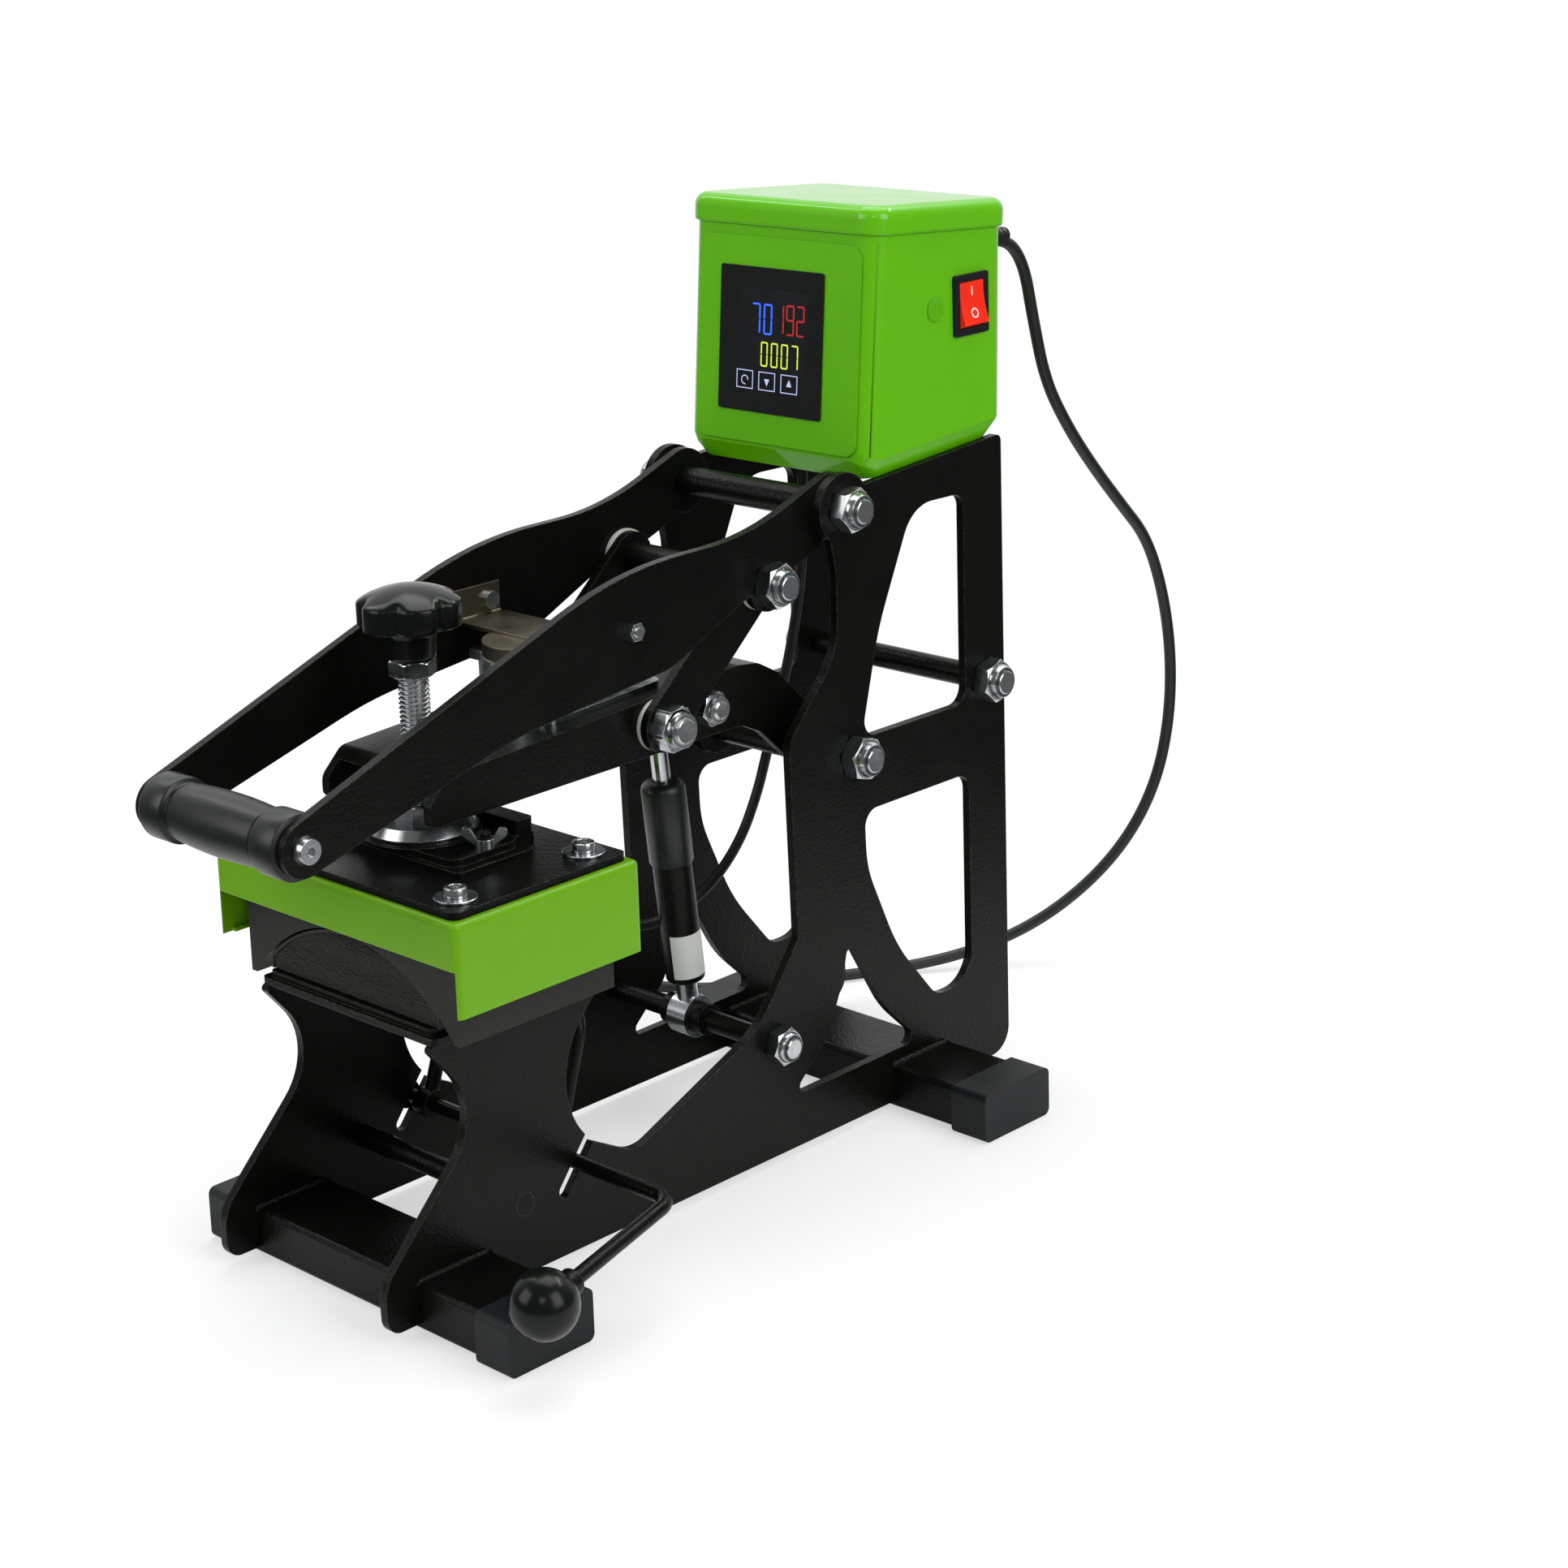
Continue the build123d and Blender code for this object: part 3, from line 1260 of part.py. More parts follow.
pieces = {
    "side_plate_right": side_plate_right,
    "side_plate_left": side_plate_left,
    "foot_tubes": foot_tubes,
    "foot_caps": foot_caps,
    "tie_rods": tie_rods,
    "frame_shafts": frame_shafts,
    "frame_nuts": frame_nuts,
    "pivot_washers": pivot_washers,
    "arm_spacers": arm_spacers,
    "platen_base": platen_base,
    "platen_pad": platen_pad,
    "handle_plate_right": handle_plate_right,
    "handle_plate_left": handle_plate_left,
    "handle_grip": handle_grip,
    "handle_screws": handle_screws,
    "handle_sleeve": handle_sleeve,
    "link_shaft": link_shaft,
    "link_shaft_nuts": link_shaft_nuts,
    "magnet_keeper": magnet_keeper,
    "link_plates": link_plates,
    "link_sleeve": link_sleeve,
    "link_washers": link_washers,
    "knee_bolts": knee_bolts,
    "arm_channel": arm_channel,
    "arm_pins": arm_pins,
    "arm_pivot_tube": arm_pivot_tube,
    "electromagnet": electromagnet,
    "stop_bolt": stop_bolt,
    "screw_bush": screw_bush,
    "screw_flange": screw_flange,
    "head_boss": head_boss,
    "mount_plate": mount_plate,
    "top_plate": top_plate,
    "top_plate_bolts": top_plate_bolts,
    "heater_shroud": heater_shroud,
    "heater_block": heater_block,
    "wing_nut_right": wing_nut_right,
    "wing_nut_left": wing_nut_left,
    "pressure_screw": pressure_screw,
    "star_knob": star_knob,
    "strut_cylinder": strut_cylinder,
    "strut_lower_eye": strut_lower_eye,
    "strut_rod": strut_rod,
    "lever_rod": lever_rod,
    "ball_knob": ball_knob,
    "hold_down_bail": hold_down_bail,
    "control_box": control_box,
    "control_lid": control_lid,
    "front_panel": front_panel,
    "display": display,
    "rocker_bezel": rocker_bezel,
    "rocker_button": rocker_button,
    "side_plug": side_plug,
    "cord_gland": cord_gland,
    "mains_cord": mains_cord,
    "mains_cord_coil": mains_cord_coil,
    "mains_cord_tail": mains_cord_tail,
    "mains_plug": mains_plug,
    "heater_lead_frame": heater_lead_frame,
    "heater_lead_arm": heater_lead_arm,
}
for name, piece in pieces.items():
    piece.part.label = name
    export_step(piece.part, f"parts/{name}.step")
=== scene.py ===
import math

import bmesh
import bpy
from mathutils import Matrix, Vector, noise


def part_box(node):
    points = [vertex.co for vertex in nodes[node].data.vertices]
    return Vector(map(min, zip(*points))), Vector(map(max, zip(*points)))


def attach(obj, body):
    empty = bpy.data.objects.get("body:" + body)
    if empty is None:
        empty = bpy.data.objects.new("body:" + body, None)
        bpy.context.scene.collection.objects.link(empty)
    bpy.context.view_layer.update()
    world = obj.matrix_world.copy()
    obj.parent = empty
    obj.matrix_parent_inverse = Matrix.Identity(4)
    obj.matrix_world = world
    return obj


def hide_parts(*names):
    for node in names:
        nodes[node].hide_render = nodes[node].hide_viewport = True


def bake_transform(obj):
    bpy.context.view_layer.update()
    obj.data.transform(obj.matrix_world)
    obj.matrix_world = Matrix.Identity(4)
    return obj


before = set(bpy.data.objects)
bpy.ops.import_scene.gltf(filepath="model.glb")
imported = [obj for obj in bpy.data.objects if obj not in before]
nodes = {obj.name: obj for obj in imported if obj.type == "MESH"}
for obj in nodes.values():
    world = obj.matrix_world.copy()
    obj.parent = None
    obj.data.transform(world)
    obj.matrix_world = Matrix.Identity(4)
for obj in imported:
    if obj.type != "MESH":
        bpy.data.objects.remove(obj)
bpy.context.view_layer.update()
scene = bpy.context.scene
mm = 0.001


def hexColor(text):
    # sRGB hex to the linear values the shader wants
    parts = [int(text[i : i + 2], 16) / 255 for i in (1, 3, 5)]
    return (*[c / 12.92 if c <= 0.04045 else ((c + 0.055) / 1.055) ** 2.4 for c in parts], 1.0)


def addNode(tree, kind, settings=None, links=None):
    node = tree.nodes.new("ShaderNode" + kind)
    for key, value in (settings or {}).items():
        if isinstance(key, str) and hasattr(node, key):
            setattr(node, key, value)
        else:
            node.inputs[key].default_value = value
    for key, socket in (links or {}).items():
        tree.links.new(socket, node.inputs[key])
    return node


def startFinish(name, shine):
    # A material with its shader's own numbers set, and the object's coordinates in metres
    finish = bpy.data.materials.new(name)
    finish.use_nodes = True
    tree = finish.node_tree
    shader = tree.nodes["Principled BSDF"]
    for key, value in shine.items():
        shader.inputs[key].default_value = value
    return finish, tree, shader, addNode(tree, "TexCoord").outputs["Object"]


def softEdges(tree, radius):
    # Sheet edges are never knife sharp: normals turn over this radius, and the mask marks the edge itself
    rounded = addNode(tree, "Bevel", {"samples": 6, "Radius": radius * mm})
    straight = addNode(tree, "NewGeometry")
    same = addNode(tree, "VectorMath", {"operation": "DOT_PRODUCT"}, {0: rounded.outputs[0], 1: straight.outputs["Normal"]})
    mask = addNode(tree, "MapRange", {"From Min": 0.985, "From Max": 0.86, "To Min": 0.0, "To Max": 1.0}, {"Value": same.outputs["Value"]})
    return rounded.outputs[0], mask.outputs[0]


def paintedSteel(name, look):
    # Powder coat bakes to a fine pebbled skin, thin and a little rubbed along cut edges; the edge colour paints that
    # wear together with an edge highlight, and on the green plug a dark shade line round its rim
    finish, tree, shader, place = startFinish(name, {"Specular IOR Level": look["shine"], "Coat Weight": look["coat"], "Coat Roughness": look["coatRough"]})
    rounded, edge = softEdges(tree, look["edge"])
    pebble = addNode(tree, "TexNoise", {"Scale": 1 / (look["grain"] * mm), "Detail": 2.0, "Roughness": 0.55}, {"Vector": place})
    cloud = addNode(tree, "TexNoise", {"Scale": 1 / (38 * mm), "Detail": 4.0}, {"Vector": place})
    tone = addNode(tree, "Mix", {"data_type": "RGBA", 6: hexColor(look["color"]), 7: hexColor(look["tone"])}, {0: cloud.outputs[0]})
    edgeWearAndPaintedLightMask = addNode(tree, "Math", {"operation": "MULTIPLY", "use_clamp": True}, {0: edge, 1: addNode(tree, "MapRange", {"From Min": 0.45, "From Max": 0.62, "To Min": 0.05, "To Max": look["wear"]}, {"Value": pebble.outputs[0]}).outputs[0]})
    color = addNode(tree, "Mix", {"data_type": "RGBA", 7: hexColor(look["worn"])}, {0: edgeWearAndPaintedLightMask.outputs[0], 6: tone.outputs[2]})
    rough = addNode(tree, "MapRange", {"From Min": 0.3, "From Max": 0.7, "To Min": look["rough"] - 0.05, "To Max": look["rough"] + 0.06}, {"Value": cloud.outputs[0]})
    bump = addNode(tree, "Bump", {"Strength": look["bump"], "Distance": 0.28 * mm}, {"Height": pebble.outputs[0], "Normal": rounded})
    tree.links.new(color.outputs[2], shader.inputs["Base Color"])
    tree.links.new(rough.outputs[0], shader.inputs["Roughness"])
    tree.links.new(bump.outputs[0], shader.inputs["Normal"])
    return finish


def platedSteel(name, look):
    # Zinc and chrome plate: clear metal with faint clouding, and fine turning or drawing lines under it
    finish, tree, shader, place = startFinish(name, {"Metallic": 1.0})
    rounded, edge = softEdges(tree, look["edge"])
    cloud = addNode(tree, "TexNoise", {"Scale": 1 / (look["cloud"] * mm), "Detail": 3.0}, {"Vector": place})
    lines = addNode(tree, "TexNoise", {"Scale": 1 / (look["line"] * mm), "Detail": 2.0}, {"Vector": addNode(tree, "Mapping", {"Scale": look["stretch"]}, {"Vector": place}).outputs[0]})
    color = addNode(tree, "Mix", {"data_type": "RGBA", 6: hexColor(look["color"]), 7: hexColor(look["tone"])}, {0: cloud.outputs[0]})
    rough = addNode(tree, "MapRange", {"From Min": 0.3, "From Max": 0.7, "To Min": look["rough"] - 0.04, "To Max": look["rough"] + 0.08}, {"Value": cloud.outputs[0]})
    bump = addNode(tree, "Bump", {"Strength": look["bump"], "Distance": 0.04 * mm}, {"Height": lines.outputs[0], "Normal": rounded})
    tree.links.new(color.outputs[2], shader.inputs["Base Color"])
    tree.links.new(rough.outputs[0], shader.inputs["Roughness"])
    tree.links.new(bump.outputs[0], shader.inputs["Normal"])
    return finish


def mouldedPlastic(name, look):
    # Moulded parts take the mould's fine spark or polish, with slow colour drift and softened edges; the lighter edge
    # colour paints the edges' highlight together with their wear
    finish, tree, shader, place = startFinish(name, {"Specular IOR Level": look.get("shine", 0.5), "Coat Weight": look.get("coat", 0.0), "Coat Roughness": 0.08, "Subsurface Weight": look.get("soft", 0.0), "Subsurface Scale": 0.002, "Transmission Weight": look.get("clear", 0.0), "IOR": look.get("ior", 1.49), "Emission Strength": look.get("glow", 0.0)})
    rounded, edge = softEdges(tree, look["edge"])
    spark = addNode(tree, "TexNoise", {"Scale": 1 / (look["grain"] * mm), "Detail": 2.0}, {"Vector": place})
    drift = addNode(tree, "TexNoise", {"Scale": 1 / (25 * mm), "Detail": 3.0}, {"Vector": place})
    tone = addNode(tree, "Mix", {"data_type": "RGBA", 6: hexColor(look["color"]), 7: hexColor(look["tone"])}, {0: drift.outputs[0]})
    color = addNode(tree, "Mix", {"data_type": "RGBA", 7: hexColor(look["worn"])}, {0: addNode(tree, "Math", {"operation": "MULTIPLY", 1: look.get("wear", 0.25)}, {0: edge}).outputs[0], 6: tone.outputs[2]})
    rough = addNode(tree, "MapRange", {"From Min": 0.3, "From Max": 0.7, "To Min": look["rough"] - 0.03, "To Max": look["rough"] + 0.05}, {"Value": drift.outputs[0]})
    bump = addNode(tree, "Bump", {"Strength": look["bump"], "Distance": 0.05 * mm}, {"Height": spark.outputs[0], "Normal": rounded})
    tree.links.new(color.outputs[2], shader.inputs["Base Color"])
    if look.get("glow"):
        tree.links.new(color.outputs[2], shader.inputs["Emission Color"])
    tree.links.new(rough.outputs[0], shader.inputs["Roughness"])
    tree.links.new(bump.outputs[0], shader.inputs["Normal"])
    return finish


def ribbedSilicone(name, look):
    # Sawn silicone foam: ragged level courses about a millimetre apart, dull and slightly porous
    finish, tree, shader, place = startFinish(name, {"Specular IOR Level": 0.3})
    torn = addNode(tree, "TexNoise", {"Scale": 1 / (4 * mm), "Detail": 5.0, "Roughness": 0.7}, {"Vector": addNode(tree, "Mapping", {"Scale": (0.5, 0.5, 1.6)}, {"Vector": place}).outputs[0]})
    course = addNode(tree, "TexWave", {"wave_type": "BANDS", "bands_direction": "Z", "Scale": look["course"], "Distortion": 3.2, "Detail": 3.0, "Detail Scale": 2.0}, {"Vector": place})
    height = addNode(tree, "Mix", {"data_type": "FLOAT", 0: 0.45}, {2: course.outputs["Fac"], 3: torn.outputs[0]})
    # Colour follows the height: the low hollows between the courses take the darker colour as painted shade, the raised
    # courses the lighter
    color = addNode(tree, "Mix", {"data_type": "RGBA", 6: hexColor(look["color"]), 7: hexColor(look["tone"])}, {0: height.outputs[0]})
    bump = addNode(tree, "Bump", {"Strength": 0.9, "Distance": 0.5 * mm}, {"Height": height.outputs[0]})
    rough = addNode(tree, "MapRange", {"To Min": 0.62, "To Max": 0.85}, {"Value": torn.outputs[0]})
    tree.links.new(color.outputs[2], shader.inputs["Base Color"])
    tree.links.new(rough.outputs[0], shader.inputs["Roughness"])
    tree.links.new(bump.outputs[0], shader.inputs["Normal"])
    return finish


def litSegment(name, color, strength):
    # Back-lit liquid crystal: the colour glows evenly with a slight grain
    finish, tree, shader, place = startFinish(name, {"Roughness": 0.3, "Emission Strength": strength})
    grain = addNode(tree, "TexNoise", {"Scale": 1 / (1.2 * mm)}, {"Vector": place})
    glow = addNode(tree, "Mix", {"data_type": "RGBA", 6: hexColor(color), 7: tuple(0.8 * c for c in hexColor(color)[:3]) + (1,)}, {0: grain.outputs[0]})
    tree.links.new(glow.outputs[2], shader.inputs["Base Color"])
    tree.links.new(glow.outputs[2], shader.inputs["Emission Color"])
    return finish


# Each lighter edge colour below paints an edge highlight together with the edge's wear
finishes = {
    "blackPowderCoat": paintedSteel("blackPowderCoat", {"color": "#060706", "tone": "#0c0d0b", "worn": "#8b8d88", "wear": 0.32, "rough": 0.3, "shine": 0.14, "coat": 0.0, "coatRough": 0.2, "grain": 1.8, "bump": 0.9, "edge": 0.7}),
    "greenEnamel": paintedSteel("greenEnamel", {"color": "#5fb600", "tone": "#5aae00", "worn": "#8fd040", "wear": 0.12, "rough": 0.3, "shine": 0.15, "coat": 0.6, "coatRough": 0.05, "grain": 3.0, "bump": 0.05, "edge": 1.2}),
    "greenSatinCoat": paintedSteel("greenSatinCoat", {"color": "#67a200", "tone": "#619a00", "worn": "#9ccb55", "wear": 0.25, "rough": 0.34, "shine": 0.2, "coat": 0.2, "coatRough": 0.18, "grain": 2.2, "bump": 0.08, "edge": 1.0}),
    # The plug's darker edge colour is painted shade: a dark line round the plug's rim
    "greenPlug": paintedSteel("greenPlug", {"color": "#57aa00", "tone": "#52a200", "worn": "#3a7000", "wear": 0.9, "rough": 0.35, "shine": 0.2, "coat": 0.3, "coatRough": 0.1, "grain": 3.0, "bump": 0.05, "edge": 0.45}),
    "zincPlate": platedSteel("zincPlate", {"color": "#d4d6d6", "tone": "#b4b8ba", "rough": 0.2, "cloud": 7.0, "line": 0.9, "stretch": (1, 1, 1), "bump": 0.05, "edge": 0.35}),
    "yellowedZinc": platedSteel("yellowedZinc", {"color": "#9a9686", "tone": "#6f6a58", "rough": 0.3, "cloud": 22.0, "line": 0.6, "stretch": (1, 5, 1), "bump": 0.08, "edge": 0.5}),
    "hardChrome": platedSteel("hardChrome", {"color": "#d4d6d8", "tone": "#b9bcc0", "rough": 0.12, "cloud": 12.0, "line": 0.3, "stretch": (1, 1, 6), "bump": 0.1, "edge": 0.3}),
    "castHeaterBlock": paintedSteel("castHeaterBlock", {"color": "#232422", "tone": "#2a2b27", "worn": "#5d5e58", "wear": 0.3, "rough": 0.5, "shine": 0.2, "coat": 0.0, "coatRough": 0.3, "grain": 0.8, "bump": 0.35, "edge": 0.8}),
    "whiteNylon": mouldedPlastic("whiteNylon", {"color": "#d9d7cf", "tone": "#c9c6bb", "worn": "#efeee8", "rough": 0.42, "grain": 0.8, "bump": 0.2, "edge": 0.4, "soft": 0.15}),
    "blueNylonInsert": mouldedPlastic("blueNylonInsert", {"color": "#3c5560", "tone": "#2e444e", "worn": "#6f8893", "rough": 0.4, "grain": 0.6, "bump": 0.2, "edge": 0.2}),
    "polishedPhenolic": mouldedPlastic("polishedPhenolic", {"color": "#090a0a", "tone": "#0f1010", "worn": "#1c1d1e", "rough": 0.2, "grain": 1.5, "bump": 0.05, "edge": 0.7, "shine": 0.22}),
    "satinGripPlastic": mouldedPlastic("satinGripPlastic", {"color": "#0d0e0f", "tone": "#141516", "worn": "#303234", "rough": 0.36, "shine": 0.45, "grain": 0.7, "bump": 0.18, "edge": 0.7}),
    "blackCapPlastic": mouldedPlastic("blackCapPlastic", {"color": "#0d0e10", "tone": "#121316", "worn": "#2a2c30", "rough": 0.5, "shine": 0.3, "grain": 0.6, "bump": 0.3, "edge": 0.6}),
    "ribbedSilicone": ribbedSilicone("ribbedSilicone", {"color": "#1d1d1a", "tone": "#3c3c36", "course": 520.0}),
    "siliconeSkin": mouldedPlastic("siliconeSkin", {"color": "#131412", "tone": "#1b1b18", "worn": "#35352f", "rough": 0.6, "grain": 0.9, "bump": 0.3, "edge": 0.4}),
    "displayGlass": mouldedPlastic("displayGlass", {"color": "#060708", "tone": "#0a0b0d", "worn": "#1c1d20", "rough": 0.1, "grain": 4.0, "bump": 0.02, "edge": 0.3, "coat": 0.6}),
    "liquidCrystal": mouldedPlastic("liquidCrystal", {"color": "#0d0f12", "tone": "#12151a", "worn": "#1c1d20", "rough": 0.2, "grain": 2.0, "bump": 0.02, "edge": 0.1}),
    "redRocker": mouldedPlastic("redRocker", {"color": "#d21c06", "tone": "#ea2c0c", "worn": "#ff7a5c", "rough": 0.14, "grain": 2.0, "bump": 0.03, "edge": 0.5, "coat": 0.4, "clear": 0.1, "glow": 0.28}),
    "whiteInk": mouldedPlastic("whiteInk", {"color": "#e8e8e4", "tone": "#dcdcd8", "worn": "#f4f4f2", "rough": 0.5, "grain": 0.5, "bump": 0.1, "edge": 0.05}),
    "stickerPaper": mouldedPlastic("stickerPaper", {"color": "#d6d7d6", "tone": "#c9cbca", "worn": "#e4e4e3", "rough": 0.45, "grain": 0.4, "bump": 0.15, "edge": 0.1}),
    "cordRubber": mouldedPlastic("cordRubber", {"color": "#0e0f0f", "tone": "#161717", "worn": "#2a2b2b", "rough": 0.44, "grain": 0.8, "bump": 0.25, "edge": 0.2}),
    "brassPins": platedSteel("brassPins", {"color": "#c9c3a8", "tone": "#b7ad86", "rough": 0.2, "cloud": 4.0, "line": 0.3, "stretch": (1, 1, 1), "bump": 0.1, "edge": 0.3}),
    "timeBlue": litSegment("timeBlue", "#2f62ff", 0.9),
    "heatRed": litSegment("heatRed", "#a51c1c", 0.55),
    "countYellow": litSegment("countYellow", "#c3d63a", 0.8),
    "keyWhite": litSegment("keyWhite", "#aab6e0", 0.7),
}

wears = {
    "blackPowderCoat": "side_plate_right side_plate_left foot_tubes tie_rods frame_shafts arm_spacers platen_base handle_plate_right handle_plate_left handle_sleeve link_plates link_sleeve link_shaft arm_channel arm_pivot_tube screw_bush head_boss mount_plate top_plate strut_cylinder lever_rod hold_down_bail",
    "greenEnamel": "control_box control_lid front_panel",
    "greenPlug": "side_plug",
    "greenSatinCoat": "heater_shroud",
    "zincPlate": "frame_nuts handle_screws link_shaft_nuts knee_bolts arm_pins electromagnet stop_bolt screw_flange top_plate_bolts wing_nut_right wing_nut_left pressure_screw strut_lower_eye",
    "yellowedZinc": "magnet_keeper",
    "hardChrome": "strut_rod",
    "castHeaterBlock": "heater_block",
    "whiteNylon": "pivot_washers link_washers",
    "polishedPhenolic": "star_knob ball_knob",
    "satinGripPlastic": "handle_grip",
    "blackCapPlastic": "foot_caps cord_gland rocker_bezel",
    "ribbedSilicone": "platen_pad",
    "displayGlass": "display",
    "redRocker": "rocker_button",
    "cordRubber": "mains_cord mains_cord_coil mains_cord_tail mains_plug heater_lead_frame heater_lead_arm",
}
for finishName, nodeNames in wears.items():
    for nodeName in nodeNames.split():
        holder = nodes[nodeName]
        if not holder.material_slots:
            holder.data.materials.append(finishes[finishName])
        for spot in holder.material_slots:
            spot.material = finishes[finishName]
print("materials on the frame's nodes")


def keepPiece(name, bm, body, finishName, sharp=32):
    mesh = bpy.data.meshes.new(name)
    bm.to_mesh(mesh)
    bm.free()
    for face in mesh.polygons:
        face.use_smooth = True
    mesh.set_sharp_from_angle(angle=math.radians(sharp))
    mesh.materials.append(finishes[finishName])
    piece = bpy.data.objects.new(name, mesh)
    scene.collection.objects.link(piece)
    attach(piece, body)
    return piece


def turn(bm, profile, centre, axis, steps=48):
    # Lathe: profile pairs are (radius, distance along the axis), in mm
    along = Vector(axis).normalized()
    out = along.orthogonal().normalized()
    points = [bm.verts.new(Vector(centre) * mm + (out * r + along * h) * mm) for r, h in profile]
    edges = [bm.edges.new(pair) for pair in zip(points, points[1:])]
    made = bmesh.ops.spin(bm, geom=points + edges, cent=Vector(centre) * mm, axis=along, angle=2 * math.pi, steps=steps, use_merge=True)
    return made


def closeShape(bm):
    bmesh.ops.remove_doubles(bm, verts=bm.verts[:], dist=1e-6)
    bmesh.ops.recalc_face_normals(bm, faces=bm.faces[:])


# Mains cord: out of the rear gland, down behind the press, and three and a half loops beside it
mainsCord = {
    "radius": 3.5,
    "route": [
        (40.0, 270.66, 480.04), (40.0, 294.6, 481.7), (40, 313.5, 465), (40, 322, 429), (40.5, 332, 391), (41, 353, 359), (41, 377, 331), (41, 403, 304), (41, 429, 278), (40.5, 446, 240), (40, 455, 198),
        (38, 456, 155), (33, 449, 114), (22, 434, 78), (5, 412, 48), (-17, 384, 24), (-43, 352, 9), (-68, 316, 3.5), (-87, 284, 3.5), (-106, 254, 3.5), (-129, 221, 3.5), (-153, 200, 3.5), (-179, 189.4, 3.5), (-205, 189.4, 3.5),
    ],
    "coilAt": (-205.0, 142.0), "coilRadius": 47.4, "coilStep": 8.8, "coilLayer": 7.6, "turns": 3.5, "riseFrom": 1.5, "riseTo": 2.0,
    "tail": [(-198, 94.6, 11.1), (-174, 94.6, 11.1), (-148, 91.6, 11.1)],
}


def routeCurve(name, route, radius):
    line = bpy.data.curves.new(name, "CURVE")
    line.dimensions = "3D"
    spline = line.splines.new("NURBS")
    spline.points.add(len(route) - 1)
    for point, place in zip(spline.points, route):
        point.co = (*[c * mm for c in place], 1.0)
    spline.order_u = 3
    spline.use_endpoint_u = True
    line.resolution_u = 8
    line.bevel_depth = radius * mm
    line.bevel_resolution = 4
    line.use_fill_caps = True
    cord = bpy.data.objects.new(name, line)
    scene.collection.objects.link(cord)
    return cord


def tubeOf(line):
    # The tube as a mesh, with the points of its own centre line and their length
    depth = line.data.bevel_depth
    line.data.bevel_depth = 0.0
    bpy.context.view_layer.update()
    bare = bpy.data.meshes.new_from_object(line.evaluated_get(bpy.context.evaluated_depsgraph_get()))
    path = [v.co.copy() for v in bare.vertices]
    bpy.data.meshes.remove(bare)
    line.data.bevel_depth = depth
    bpy.context.view_layer.update()
    tube = bpy.data.meshes.new_from_object(line.evaluated_get(bpy.context.evaluated_depsgraph_get()))
    for face in tube.polygons:
        face.use_smooth = True
    tube.materials.clear()
    tube.materials.append(finishes["cordRubber"])
    cord = bpy.data.objects.new(line.name.replace("Line", ""), tube)
    bpy.data.objects.remove(line)
    scene.collection.objects.link(cord)
    return cord, path, sum((b - a).length for a, b in zip(path, path[1:]))


coilRoute = []
for step in range(1, round(mainsCord["turns"] * 12) + 1):
    lap = step / 12
    climb = min(1, max(0, (lap - mainsCord["riseFrom"]) / (mainsCord["riseTo"] - mainsCord["riseFrom"])))
    drawnIn = min(lap, mainsCord["riseFrom"], mainsCord["turns"] - lap)
    radius = mainsCord["coilRadius"] - mainsCord["coilStep"] * drawnIn
    height = mainsCord["radius"] + mainsCord["coilLayer"] * (1 - math.cos(math.pi * climb)) / 2
    angle = math.pi / 2 + 2 * math.pi * lap
    coilRoute.append((mainsCord["coilAt"][0] + radius * math.cos(angle), mainsCord["coilAt"][1] + radius * math.sin(angle), height))
mainsLead, mainsPath, mainsLength = tubeOf(routeCurve("mainsLeadLine", mainsCord["route"] + coilRoute + mainsCord["tail"], mainsCord["radius"]))
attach(mainsLead, "frame")
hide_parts("mains_cord", "mains_cord_coil", "mains_cord_tail")

# Tapered, ribbed strain relief over the cord where it leaves the box
strainRelief = {"at": (40.0, 270.66, 480.04), "way": (0, 0.9976, 0.0698), "length": 27.0, "foot": 7.2, "tip": 4.3}
bm = bmesh.new()
profile = [(3.4, -0.2), (strainRelief["foot"], -0.2)]
for rib in range(6):
    share = rib / 6
    outer = strainRelief["foot"] + (strainRelief["tip"] - strainRelief["foot"]) * share
    base = 1.5 + share * (strainRelief["length"] - 2.5)
    profile += [(outer, base), (outer, base + 2.4), (outer - 0.9, base + 2.8), (outer - 1.0, base + 3.7)]
profile += [(strainRelief["tip"], strainRelief["length"] - 0.8), (3.45, strainRelief["length"])]
turn(bm, profile, strainRelief["at"], strainRelief["way"])
closeShape(bm)
reliefPiece = keepPiece("strainRelief", bm, "frame", "cordRubber")

# Tie: a flat band round the strands at the coil's side
coilTie = {"wide": 17.0, "high": 15.4, "long": 6.5, "wall": 0.6, "across": 40.8}
bm = bmesh.new()
bands = []
for grow, end in ((0, -1), (0, 1), (coilTie["wall"], 1), (coilTie["wall"], -1)):
    band = []
    for step in range(48):
        angle = 2 * math.pi * step / 48
        x, z = [(size / 2 - grow) * math.copysign(abs(turned) ** 0.5, turned) for size, turned in ((coilTie["wide"], math.cos(angle)), (coilTie["high"], math.sin(angle)))]
        band.append(bm.verts.new(Vector((mainsCord["coilAt"][0] - coilTie["across"] + x, mainsCord["coilAt"][1] + end * coilTie["long"] / 2, coilTie["high"] / 2 + z)) * mm))
    bands.append(band)
for near, far in zip(bands, bands[1:] + bands[:1]):
    for step in range(48):
        bm.faces.new((near[step - 1], near[step], far[step], far[step - 1]))
bmesh.ops.recalc_face_normals(bm, faces=bm.faces[:])
tiePiece = keepPiece("coilTie", bm, "frame", "cordRubber")

